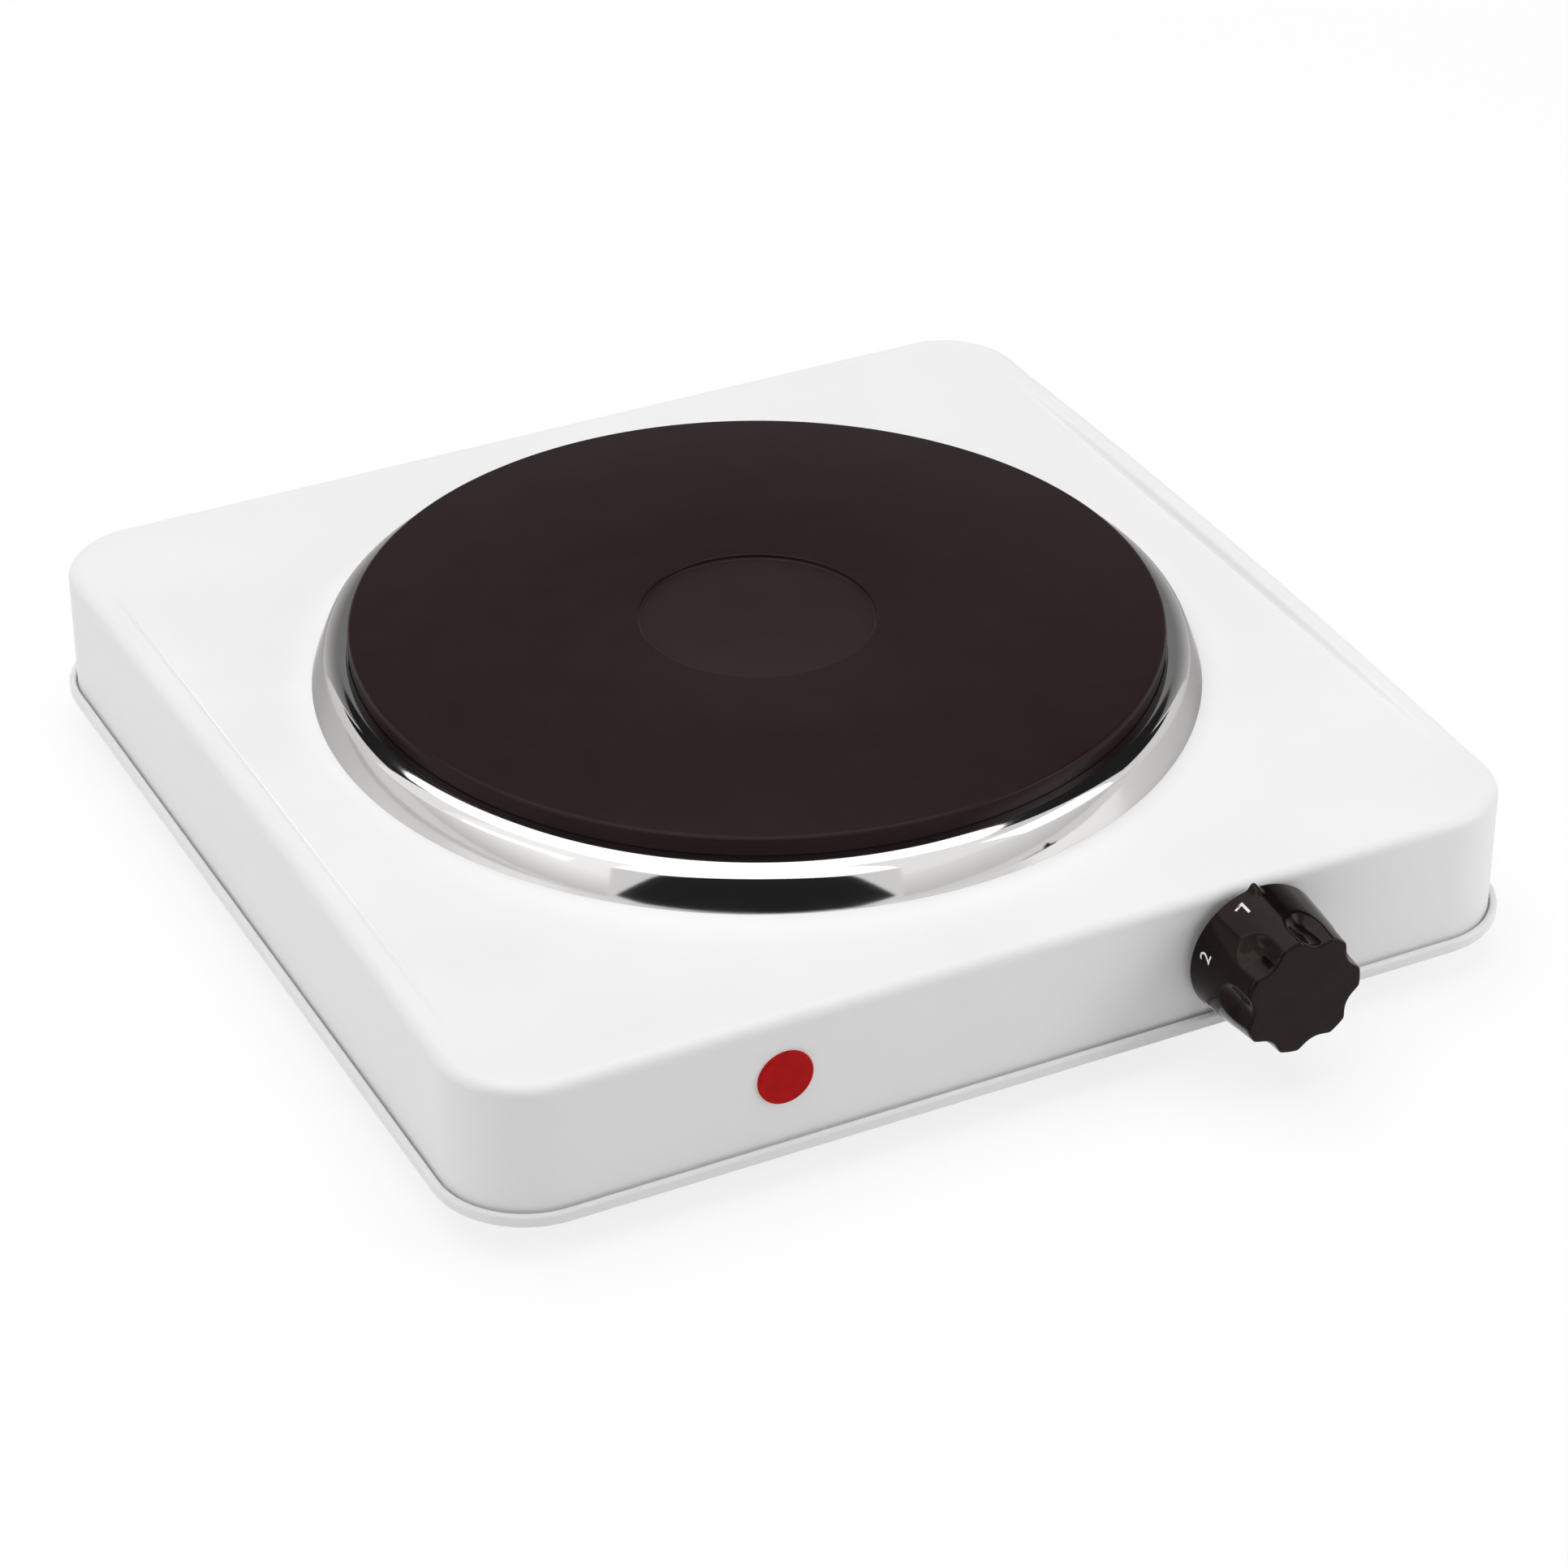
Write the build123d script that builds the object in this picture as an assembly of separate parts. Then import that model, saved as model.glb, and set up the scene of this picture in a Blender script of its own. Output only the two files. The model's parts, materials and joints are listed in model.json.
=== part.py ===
from build123d import *
from math import acos, asin, atan, atan2, cos, degrees, hypot, pi, sin
import os

# A single-burner electric hot plate: a drawn steel body with a cast-iron plate, a control knob and a lamp.
# Lengths are in millimetres. X runs to the right, Y to the back and Z up from the surface that it stands on.
# The pieces are modelled about the middle of the body, and moved along Y together when they are written.

# Clearances
RUNNING_FIT = 0.05
PUSH_FIT = 0.03
SEAT_GAP = 0.2
BOLT_GAP = 0.2
MOVING_GAP = 0.3

# Body shell of drawn sheet steel
BODY_WIDTH = 252.0
BODY_DEPTH = 252.0
BODY_CORNER_RADIUS = 19.5
TOP_EDGE_RADIUS = 3.0
SHELL_SHEET = 0.7
PANEL_LEVEL = 41.5
BEAD_RADIUS = 3.0
BEAD_RISE = 2.0
BEAD_CORNER_GAP = 6.5
BEAD_RUN_OUT = 5.0
BEAD_INSET = 0.1

# Base pan, with a folded rim round the foot of the shell
FOOT_HEIGHT = 8.0
PAN_SHEET = 0.8
RIM_HEIGHT = 3.0
RIM_THICKNESS = 1.6
RIM_ROUND = 0.7
RIM_GAP = 0.4
VENT_LENGTH = 44.0
VENT_WIDTH = 4.0
VENT_PITCH = 9.0
VENT_COUNT = 7
VENT_SIDE = 34.0

# Feet, their screws and the tabs that the screws go into
FOOT_SIDE_INSET = 22.0
FOOT_END_INSET = 30.0
FOOT_RADIUS = 9.5
FOOT_TREAD_RADIUS = 8.0
FOOT_RECESS_RADIUS = 4.8
FOOT_RECESS_DEPTH = 3.5
FOOT_SCREW_RADIUS = 2.0
FOOT_SCREW_LENGTH = 11.0
FOOT_SCREW_HEAD_RADIUS = 4.0
FOOT_SCREW_HEAD_HEIGHT = 2.4
TAB_SHEET = 1.2
TAB_WIDTH = 16.0
TAB_END = 8.7
TAB_UPRIGHT = 14.0

# Cast-iron plate
PLATE_SETBACK = 0.4
PLATE_RADIUS = 92.5
PLATE_TOP = 55.0
PLATE_RIM_HEIGHT = 6.0
PLATE_STEP = 2.0
PLATE_DEPTH = 17.0
PLATE_EDGE_ROUND = 1.0
PLATE_DISH_RADIUS = 27.0
PLATE_DISH_DEPTH = 1.2
CHANNEL_INNER_RADIUS = 34.0
PLATE_OUTER_WALL = 6.5
CHANNEL_DEPTH = 8.0
STUD_ENGAGEMENT = 8.0

# Spill ring between plate and panel
RING_WIDTH = 8.5
RING_SHEET = 0.6
RING_RISE = 1.85
RING_LAND = 2.15
RING_SHOULDER_RADIUS = 4.2
RING_SKIRT_RADIUS = 60.0
RING_OVERLAP = 6.0

# Heating coil, its filling and its two pins
COIL_RADIUS = 1.6
COIL_INNER_MARGIN = 6.0
COIL_OUTER_MARGIN = 4.0
COIL_HALF_TURNS = 8
PIN_RADIUS = 1.5
PIN_HEAD = 4.0
PIN_TAIL = 4.2
BUSH_NECK_RADIUS = 3.8
BUSH_RADIUS = 5.5
BUSH_HEIGHT = 6.0
COVER_STEP = 3.5
COVER_SHEET = 0.8

# Clamp under the plate
STUD_RADIUS = 3.0
STUD_TAIL = 3.3
WASHER_RADIUS = 8.0
WASHER_THICKNESS = 1.2
STUD_NUT_FLATS = 10.0
STUD_NUT_HEIGHT = 5.0
BRACKET_WIDTH = 26.0
BRACKET_SHEET = 1.5
BRACKET_DROP = 2.2
BRACKET_END = 10.0
BRACKET_MARGIN = 4.0

# Control knob on the front wall
KNOB_X = 54.0
KNOB_HEIGHT = 18.0
KNOB_REACH = 22.5
KNOB_RIM_GAP = 0.6
KNOB_BACK_RADIUS = 15.9
KNOB_FACE_RADIUS = 14.2
KNOB_EDGE_ROUND = 0.8
KNOB_SCOOPS = 7
KNOB_SCOOP_RADIUS = 6.0
KNOB_SCOOP_DEPTH = 2.0
KNOB_SCOOP_LENGTH = 10.5
KNOB_SCOOP_TURN = 28.0
KNOB_NIB_WIDTH = 2.4
KNOB_NIB_RISE = 1.4
KNOB_NIB_LENGTH = 3.0
KNOB_NIB_TURN = 5.0
KNOB_CAVITY_RADIUS = 10.5
KNOB_CAVITY_DEPTH = 6.0
KNOB_FACE_WALL = 4.0

# Spindle and its spring clip
SPINDLE_RADIUS = 3.0
SPINDLE_FLAT = 2.0
SPINDLE_COLLAR_RADIUS = 4.5
SPINDLE_COLLAR_LENGTH = 1.5
SPINDLE_TIP_RADIUS = 2.0
CLIP_SHEET = 0.4
CLIP_WIDTH = 3.4
CLIP_LENGTH = 9.0
CLIP_GAP = 0.1

# Thermostat behind the knob
BUSHING_RADIUS = 5.0
BUSHING_FLANGE_RADIUS = 7.0
BUSHING_FLANGE_LENGTH = 2.0
BUSHING_REACH = 4.5
BUSHING_NUT_FLATS = 13.0
BUSHING_NUT_LENGTH = 3.0
FRAME_SHEET = 1.2
FRAME_MARGIN = 12.0
FRAME_HEIGHT = 18.0
STACK_OFFSET = 20.0
SPACER_RADIUS = 6.0
SPACER_LENGTH = 6.0
SPACER_COUNT = 3
LEAF_SHEET = 0.5
LEAF_WIDTH = 9.0
LEAF_END = 6.0
BIMETAL_SHEET = 0.8
REGULATING_TERMINAL_REACH = 24.0
CONTACT_TERMINAL_REACH = 12.0
TERMINAL_WIDTH = 4.0
CONTACT_RADIUS = 2.0
CONTACT_GAP = 0.4
RIVET_RADIUS = 1.8
RIVET_HEAD_RADIUS = 3.2
RIVET_HEAD_LENGTH = 1.4

# Indicator lamp on the front wall
LAMP_X = -57.0
LAMP_HEIGHT = 18.9
LENS_RADIUS = 6.4
LENS_FLANGE = 0.8
LENS_EDGE_ROUND = 0.3
LENS_BARREL_RADIUS = 5.0
LENS_BARREL_LENGTH = 14.0
LENS_WALL = 1.0
LENS_FACE_WALL = 1.5
RETAINER_RADIUS = 8.0
RETAINER_SHEET = 0.6
LAMP_PLUG_DEPTH = 3.0
LAMP_PLUG_COLLAR = 1.5
BULB_RADIUS = 2.5
BULB_LENGTH = 8.0

# Cord gland in the back wall
GLAND_X = 78.0
GLAND_HEIGHT = 15.0
GLAND_REACH = 8.5
GLAND_FLANGE_RADIUS = 8.0
GLAND_FLANGE_LENGTH = 3.0
GLAND_NOSE_ROOT_RADIUS = 7.0
GLAND_NOSE_RADIUS = 6.2
GLAND_NECK_RADIUS = 6.0
GLAND_NECK_LENGTH = 7.0
GLAND_BORE_RADIUS = 3.6
GLAND_NUT_FLATS = 17.0
GLAND_NUT_LENGTH = 4.0

# Terminal block on the base pan
BLOCK_X = 38.0
BLOCK_BACK_GAP = 24.3
BLOCK_WIDTH = 34.0
BLOCK_DEPTH = 18.0
BLOCK_HEIGHT = 14.0
BLOCK_PITCH = 10.0
BLOCK_FIXING_DEPTH = 5.0
TERMINAL_SCREW_RADIUS = 2.0
TERMINAL_SCREW_LENGTH = 4.0
TERMINAL_SCREW_INSET = 5.0
BLOCK_SCREW_RADIUS = 1.5
BLOCK_SCREW_HEAD_RADIUS = 2.8
BLOCK_SCREW_HEAD = 1.6

# Earth screw on the base pan
EARTH_X = -36.0
EARTH_BACK_GAP = 29.3
EARTH_SCREW_RADIUS = 2.0
EARTH_SCREW_LENGTH = 9.0
EARTH_HEAD_RADIUS = 3.8
EARTH_HEAD_HEIGHT = 2.0
EARTH_NUT_FLATS = 7.0
EARTH_NUT_HEIGHT = 4.0

# Insulated leads
LEAD_RADIUS = 1.2
LEAD_BEND_RADIUS = 5.0
LEAD_FLOOR = 5.0
LEAD_STEP = 4.5
LAMP_LEAD_SPREAD = 2.2
LEAD_LEAVE = 28.0
LEAD_DOWN = 42.0
LEAD_CROSS = 66.0
LAMP_LEAD_CROSS = 50.0
LEAD_SLANT = 9.0
BLOCK_LEAD_RUN = 13.0
LAMP_LEAD_TURN = 63.0
PIN_LEAD_RUN = 26.0

# Levels and planes that follow from the sizes above
PAN_FLOOR = FOOT_HEIGHT + PAN_SHEET
PANEL_UNDERSIDE = PANEL_LEVEL - SHELL_SHEET
FRONT_WALL = -BODY_DEPTH / 2
BACK_WALL = BODY_DEPTH / 2
FRONT_INSIDE = FRONT_WALL + SHELL_SHEET
BACK_INSIDE = BACK_WALL - SHELL_SHEET
SIDE_INSIDE = BODY_WIDTH / 2 - SHELL_SHEET
FOOT_X = BODY_WIDTH / 2 - FOOT_SIDE_INSET
FOOT_Y = BODY_DEPTH / 2 - FOOT_END_INSET
PLATE_NECK_RADIUS = PLATE_RADIUS - PLATE_STEP
CHANNEL_OUTER_RADIUS = PLATE_NECK_RADIUS - PLATE_OUTER_WALL
COVER_RADIUS = PLATE_NECK_RADIUS - COVER_STEP
RING_RADIUS = PLATE_RADIUS + RING_WIDTH
PANEL_HOLE_RADIUS = RING_RADIUS - RING_OVERLAP
PLATE_SHOULDER = PLATE_TOP - PLATE_RIM_HEIGHT
PLATE_BOTTOM = PLATE_TOP - PLATE_DEPTH
CHANNEL_TOP = PLATE_BOTTOM + CHANNEL_DEPTH
COVER_BOTTOM = PLATE_BOTTOM - COVER_SHEET
COIL_LEVEL = PLATE_BOTTOM + CHANNEL_DEPTH / 2
COIL_START_RADIUS = CHANNEL_INNER_RADIUS + COIL_INNER_MARGIN
COIL_END_RADIUS = CHANNEL_OUTER_RADIUS - COIL_OUTER_MARGIN
COIL_STEP = (COIL_END_RADIUS - COIL_START_RADIUS) / COIL_HALF_TURNS
PIN_BOTTOM = COVER_BOTTOM - BUSH_HEIGHT - PIN_TAIL
BRACKET_TOP = COVER_BOTTOM - BRACKET_DROP
BRACKET_BOTTOM = BRACKET_TOP - BRACKET_SHEET
STUD_NUT_TOP = BRACKET_BOTTOM - WASHER_THICKNESS
STUD_NUT_BOTTOM = STUD_NUT_TOP - STUD_NUT_HEIGHT
KNOB_LEVEL = FOOT_HEIGHT + KNOB_HEIGHT
LAMP_LEVEL = FOOT_HEIGHT + LAMP_HEIGHT
GLAND_LEVEL = FOOT_HEIGHT + GLAND_HEIGHT
RIM_OUTSET = RIM_GAP + RIM_THICKNESS
KNOB_BACK = FRONT_WALL - RIM_OUTSET - KNOB_RIM_GAP
KNOB_FACE = FRONT_WALL - KNOB_REACH
KNOB_BORE_START = KNOB_BACK - KNOB_CAVITY_DEPTH
KNOB_BORE_END = KNOB_FACE + KNOB_FACE_WALL
SPINDLE_END = KNOB_BORE_END + MOVING_GAP
FRAME_BACK = FRONT_INSIDE + FRAME_SHEET
STACK_X = KNOB_X - STACK_OFFSET
LEAF_FACES = [FRAME_BACK + (i + 1) * SPACER_LENGTH + i * LEAF_SHEET for i in range(SPACER_COUNT)]
BLOCK_Y = BACK_INSIDE - BLOCK_BACK_GAP - BLOCK_DEPTH / 2
BLOCK_FRONT = BLOCK_Y - BLOCK_DEPTH / 2
EARTH_Y = BACK_INSIDE - EARTH_BACK_GAP
CONTACT_TERMINAL_LEVEL = KNOB_LEVEL - TERMINAL_WIDTH / 2
REGULATING_TERMINAL_LEVEL = KNOB_LEVEL + TERMINAL_WIDTH / 2
LAMP_BACK = FRONT_WALL + LENS_BARREL_LENGTH + LAMP_PLUG_COLLAR
LEAD_LEVEL = PAN_FLOOR + LEAD_FLOOR
UPPER_LEAD_LEVEL = LEAD_LEVEL + LEAD_STEP
FRAME_SHIFT = (KNOB_REACH - GLAND_REACH) / 2

pieces = {}


def rod(radius, bottom, top, x=0.0, y=0.0):
    """An upright cylinder between two levels."""
    return extrude(Pos(x, y, bottom) * Circle(radius), top - bottom)


def bar_along_y(radius, start, end, x, z):
    """A cylinder along Y between two planes."""
    return Pos(x, start, z) * Rot(X=-90) * extrude(Circle(radius), end - start)


def block(x_range, y_range, z_range):
    """A box between two limits along each axis."""
    sizes = [limits[1] - limits[0] for limits in (x_range, y_range, z_range)]
    middle = [(limits[0] + limits[1]) / 2 for limits in (x_range, y_range, z_range)]
    return Pos(*middle) * Box(*sizes)


def hexagon(flats):
    """The outline of a hexagon nut, given across its flats."""
    return RegularPolygon(flats / 2, 6, major_radius=False)


def on_plate_axis(part):
    """Puts a piece that is drawn about Z on the axis of the plate."""
    return Pos(0, PLATE_SETBACK, 0) * part


def four_corners(x, y):
    """The places of the four feet, with a name for each."""
    return {
        "front_left": (-x, -y),
        "front_right": (x, -y),
        "rear_left": (-x, y),
        "rear_right": (x, y),
    }


def shell_block(inset):
    """The body as a block with rounded corners and top edges, drawn in by the sheet for its inside."""
    outline = RectangleRounded(BODY_WIDTH - 2 * inset, BODY_DEPTH - 2 * inset, BODY_CORNER_RADIUS - inset)
    body = extrude(Pos(0, 0, PAN_FLOOR) * outline, PANEL_LEVEL - inset - PAN_FLOOR)
    body = fillet(body.edges().group_by(Axis.Z)[-1], TOP_EDGE_RADIUS - inset)
    return body + side_bead(-1, inset) + side_bead(1, inset)


def side_bead(side, inset):
    """A round bead that swells out of a side's top edge and sinks back before the corners."""
    half_length = BODY_DEPTH / 2 - BODY_CORNER_RADIUS - BEAD_CORNER_GAP
    arch_radius = (half_length**2 + BEAD_RISE**2) / (2 * BEAD_RISE)
    centre_x = side * (BODY_WIDTH / 2 - BEAD_INSET - BEAD_RADIUS)
    centre_z = PANEL_LEVEL + BEAD_RISE - BEAD_RADIUS
    arch_axis = Axis((0, 0, centre_z - arch_radius), (1, 0, 0))
    half_angle = degrees(asin((half_length + BEAD_RUN_OUT) / arch_radius))
    section = Plane.XZ * Pos(centre_x, centre_z) * Circle(BEAD_RADIUS - inset)
    return revolve(section.rotate(arch_axis, -half_angle), arch_axis, 2 * half_angle)


def top_housing():
    """The drawn steel shell: panel and four walls of one sheet, with the holes for what passes through."""
    shell = shell_block(0) - shell_block(SHELL_SHEET)
    shell -= on_plate_axis(rod(PANEL_HOLE_RADIUS, PANEL_UNDERSIDE, PANEL_LEVEL))
    shell -= bar_along_y(BUSHING_RADIUS + BOLT_GAP, FRONT_WALL, FRONT_INSIDE, KNOB_X, KNOB_LEVEL)
    shell -= bar_along_y(LENS_BARREL_RADIUS + BOLT_GAP, FRONT_WALL, FRONT_INSIDE, LAMP_X, LAMP_LEVEL)
    shell -= bar_along_y(GLAND_NECK_RADIUS + BOLT_GAP, BACK_INSIDE, BACK_WALL, GLAND_X, GLAND_LEVEL)
    return shell


def base_pan():
    """The bottom: a flat sheet with vent slots, and a folded rim that shows as a lip round the shell."""
    outline = RectangleRounded(
        BODY_WIDTH + 2 * RIM_OUTSET, BODY_DEPTH + 2 * RIM_OUTSET, BODY_CORNER_RADIUS + RIM_OUTSET
    )
    inner = RectangleRounded(BODY_WIDTH + 2 * RIM_GAP, BODY_DEPTH + 2 * RIM_GAP, BODY_CORNER_RADIUS + RIM_GAP)
    pan = extrude(Pos(0, 0, FOOT_HEIGHT) * outline, RIM_HEIGHT)
    pan -= extrude(Pos(0, 0, PAN_FLOOR) * inner, RIM_HEIGHT)
    pan = fillet(pan.edges().group_by(Axis.Z)[-1], RIM_ROUND)
    pan = fillet(pan.faces().sort_by(Axis.Z)[0].outer_wire().edges(), RIM_ROUND)
    slot = extrude(SlotOverall(VENT_LENGTH, VENT_WIDTH), PAN_SHEET)
    for side in (-1, 1):
        for row in range(VENT_COUNT):
            offset = (row - (VENT_COUNT - 1) / 2) * VENT_PITCH
            pan -= Pos(side * VENT_SIDE, offset, FOOT_HEIGHT) * slot
    for x, y in four_corners(FOOT_X, FOOT_Y).values():
        pan -= rod(FOOT_SCREW_RADIUS + BOLT_GAP, FOOT_HEIGHT, PAN_FLOOR, x, y)
    for x in block_fixings():
        pan -= rod(BLOCK_SCREW_RADIUS + PUSH_FIT, FOOT_HEIGHT, PAN_FLOOR, x, BLOCK_Y)
    pan -= rod(EARTH_SCREW_RADIUS + BOLT_GAP, FOOT_HEIGHT, PAN_FLOOR, EARTH_X, EARTH_Y)
    return pan


def foot(x, y):
    """A rubber foot, wider at the top, with a recess for the head of its screw."""
    body = loft([Circle(FOOT_TREAD_RADIUS), Pos(0, 0, FOOT_HEIGHT) * Circle(FOOT_RADIUS)])
    body -= rod(FOOT_RECESS_RADIUS, 0, FOOT_RECESS_DEPTH)
    body -= rod(FOOT_SCREW_RADIUS + BOLT_GAP, FOOT_RECESS_DEPTH, FOOT_HEIGHT)
    return Pos(x, y, 0) * body


def foot_screw(x, y):
    """A screw up through foot, pan and tab, with its head in the recess of the foot."""
    head = rod(FOOT_SCREW_HEAD_RADIUS, FOOT_RECESS_DEPTH - FOOT_SCREW_HEAD_HEIGHT, FOOT_RECESS_DEPTH, x, y)
    return head + rod(FOOT_SCREW_RADIUS, FOOT_RECESS_DEPTH, FOOT_RECESS_DEPTH + FOOT_SCREW_LENGTH, x, y)


def base_tab(x, y):
    """A bent tab, welded to a side wall of the shell, that takes the screw of a foot."""
    side = 1 if x > 0 else -1
    wall = side * SIDE_INSIDE
    end = x - side * TAB_END
    y_range = (y - TAB_WIDTH / 2, y + TAB_WIDTH / 2)
    tab = block(sorted((wall, end)), y_range, (PAN_FLOOR, PAN_FLOOR + TAB_SHEET))
    tab += block(sorted((wall, wall - side * TAB_SHEET)), y_range, (PAN_FLOOR, PAN_FLOOR + TAB_UPRIGHT))
    return tab - rod(FOOT_SCREW_RADIUS + PUSH_FIT, PAN_FLOOR, PAN_FLOOR + TAB_SHEET, x, y)


def cast_iron_plate():
    """The plate: a thick rim over a narrower neck, a shallow dish on top and a channel for the coil below."""
    plate = rod(PLATE_RADIUS, PLATE_SHOULDER, PLATE_TOP)
    plate += rod(PLATE_NECK_RADIUS, PLATE_BOTTOM, PLATE_SHOULDER)
    plate = fillet(plate.edges().group_by(Axis.Z)[-1], PLATE_EDGE_ROUND)
    dish = rod(PLATE_DISH_RADIUS, PLATE_TOP - PLATE_DISH_DEPTH, PLATE_TOP)
    plate -= fillet(dish.edges().group_by(Axis.Z)[0], PLATE_DISH_DEPTH / 2)
    channel = rod(CHANNEL_OUTER_RADIUS, PLATE_BOTTOM, CHANNEL_TOP)
    plate -= channel - rod(CHANNEL_INNER_RADIUS, PLATE_BOTTOM, CHANNEL_TOP)
    plate -= rod(STUD_RADIUS + PUSH_FIT, PLATE_BOTTOM, PLATE_BOTTOM + STUD_ENGAGEMENT)
    return on_plate_axis(plate)


def ring_arc(centre, radius, first, last):
    """Three points on an arc of the ring's section: at its first angle, half way and at its last."""
    points = []
    for angle in (first, (first + last) / 2, last):
        points.append((centre[0] + radius * cos(angle), centre[1] + radius * sin(angle)))
    return points


def spill_ring():
    """The bright ring: an edge under the rim of the plate, a level land, a round shoulder and a skirt to the panel."""
    bore = PLATE_NECK_RADIUS + SEAT_GAP
    lip = PLATE_RADIUS + SEAT_GAP
    edge_bottom = PLATE_SHOULDER - RING_SHEET
    land = PLATE_SHOULDER + RING_RISE
    centre = (PLATE_RADIUS + RING_LAND, land - RING_SHOULDER_RADIUS)
    across = RING_RADIUS - centre[0]
    down = PANEL_LEVEL - centre[1]
    reach = hypot(across, down)
    lever = RING_SKIRT_RADIUS - RING_SHOULDER_RADIUS
    turn = atan2(down, across) + acos((RING_SKIRT_RADIUS**2 - lever**2 - reach**2) / (2 * lever * reach))
    skirt_centre = (centre[0] - lever * cos(turn), centre[1] - lever * sin(turn))
    drop = PANEL_LEVEL - skirt_centre[1]
    inner_radius = RING_SKIRT_RADIUS - RING_SHEET
    shoulder = ring_arc(centre, RING_SHOULDER_RADIUS, pi / 2, turn)
    skirt = ring_arc(skirt_centre, RING_SKIRT_RADIUS, turn, asin(drop / RING_SKIRT_RADIUS))
    inner_skirt = ring_arc(skirt_centre, inner_radius, asin(drop / inner_radius), turn)
    inner_shoulder = ring_arc(centre, RING_SHOULDER_RADIUS - RING_SHEET, turn, pi / 2)
    inner_lip = lip + RING_SHEET
    outline = [
        Polyline((bore, PLATE_SHOULDER), (lip, PLATE_SHOULDER), (lip, land), shoulder[0]),
        ThreePointArc(*shoulder),
        ThreePointArc(*skirt),
        Line(skirt[2], inner_skirt[0]),
        ThreePointArc(*inner_skirt),
        ThreePointArc(*inner_shoulder),
        Polyline(inner_shoulder[2], (inner_lip, land - RING_SHEET), (inner_lip, edge_bottom), (bore, edge_bottom)),
        Line((bore, edge_bottom), (bore, PLATE_SHOULDER)),
    ]
    return on_plate_axis(revolve(Plane.XZ * make_face(Curve() + outline), Axis.Z))


def coil_path():
    """The flat spiral of the coil, in half turns that grow by one step each."""
    arcs = []
    for i in range(COIL_HALF_TURNS):
        radius = COIL_START_RADIUS + i * COIL_STEP
        centre_x = COIL_STEP if i % 2 else 0.0
        arcs.append(CenterArc((centre_x, 0, COIL_LEVEL), radius, 180 * (i % 2), 180))
    return Wire(arcs)


def coil_tube(radius):
    """A round tube along the spiral, with its two ends towards the back."""
    path = coil_path()
    section = Plane(path @ 0, z_dir=path % 0) * Circle(radius)
    return on_plate_axis(Rot(Z=90) * sweep(section, path))


def coil_pins():
    """The places of the two pins, each just past an end of the coil."""
    inner = (PIN_HEAD / 2, PLATE_SETBACK + COIL_START_RADIUS)
    outer = (-PIN_HEAD / 2, PLATE_SETBACK + COIL_END_RADIUS)
    return inner, outer


def coil_pin(x, y, gap=0.0):
    """A pin down from an end of the coil, with a square head that the coil meets."""
    half = PIN_HEAD / 2
    head = block(
        (x - half, x + half),
        (y - half - gap, y + half + gap),
        (COIL_LEVEL - half - gap, COIL_LEVEL + half + gap),
    )
    return head + rod(PIN_RADIUS + gap, PIN_BOTTOM, COIL_LEVEL, x, y)


def insulation_filler():
    """The pressed filling of the channel, with a tunnel for the coil and pockets for its pins."""
    filler = rod(CHANNEL_OUTER_RADIUS - SEAT_GAP, PLATE_BOTTOM, CHANNEL_TOP)
    filler -= rod(CHANNEL_INNER_RADIUS + SEAT_GAP, PLATE_BOTTOM, CHANNEL_TOP)
    filler = on_plate_axis(filler)
    filler -= coil_tube(COIL_RADIUS + SEAT_GAP)
    for x, y in coil_pins():
        filler -= coil_pin(x, y, SEAT_GAP)
    return filler


def pin_bush(x, y):
    """A ceramic bush that carries a pin through the cover disc."""
    bush = rod(BUSH_RADIUS, COVER_BOTTOM - BUSH_HEIGHT, COVER_BOTTOM, x, y)
    bush += rod(BUSH_NECK_RADIUS, COVER_BOTTOM, PLATE_BOTTOM, x, y)
    return bush - rod(PIN_RADIUS + PUSH_FIT, COVER_BOTTOM - BUSH_HEIGHT, PLATE_BOTTOM, x, y)


def plate_cover_disc():
    """The sheet disc that closes the channel from below."""
    cover = on_plate_axis(rod(COVER_RADIUS, COVER_BOTTOM, PLATE_BOTTOM))
    cover -= on_plate_axis(rod(STUD_RADIUS + BOLT_GAP, COVER_BOTTOM, PLATE_BOTTOM))
    for x, y in coil_pins():
        cover -= rod(BUSH_NECK_RADIUS + SEAT_GAP, COVER_BOTTOM, PLATE_BOTTOM, x, y)
    return cover


def centre_stud():
    """The stud that pulls the plate down on its ring."""
    return on_plate_axis(rod(STUD_RADIUS, STUD_NUT_BOTTOM - STUD_TAIL, PLATE_BOTTOM + STUD_ENGAGEMENT))


def plate_bracket():
    """The cross bar under the panel: its ends bear up on the panel beside the hole."""
    joggle_start = PANEL_HOLE_RADIUS - BRACKET_MARGIN / 2
    joggle_end = PANEL_HOLE_RADIUS + BRACKET_MARGIN
    end = joggle_end + BRACKET_END
    upper = [(-end, PANEL_UNDERSIDE), (-joggle_end, PANEL_UNDERSIDE), (-joggle_start, BRACKET_TOP)]
    upper += [(-x, z) for x, z in reversed(upper)]
    lower = [(x, z - BRACKET_SHEET) for x, z in reversed(upper)]
    profile = Plane.XZ * make_face(Polyline(*upper, *lower, close=True))
    bar = extrude(profile, BRACKET_WIDTH / 2, both=True)
    return on_plate_axis(bar - rod(STUD_RADIUS + BOLT_GAP, BRACKET_BOTTOM, BRACKET_TOP))


def stud_washer():
    """The washer under the cross bar."""
    ring = rod(WASHER_RADIUS, STUD_NUT_TOP, BRACKET_BOTTOM)
    return on_plate_axis(ring - rod(STUD_RADIUS + BOLT_GAP, STUD_NUT_TOP, BRACKET_BOTTOM))


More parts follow.
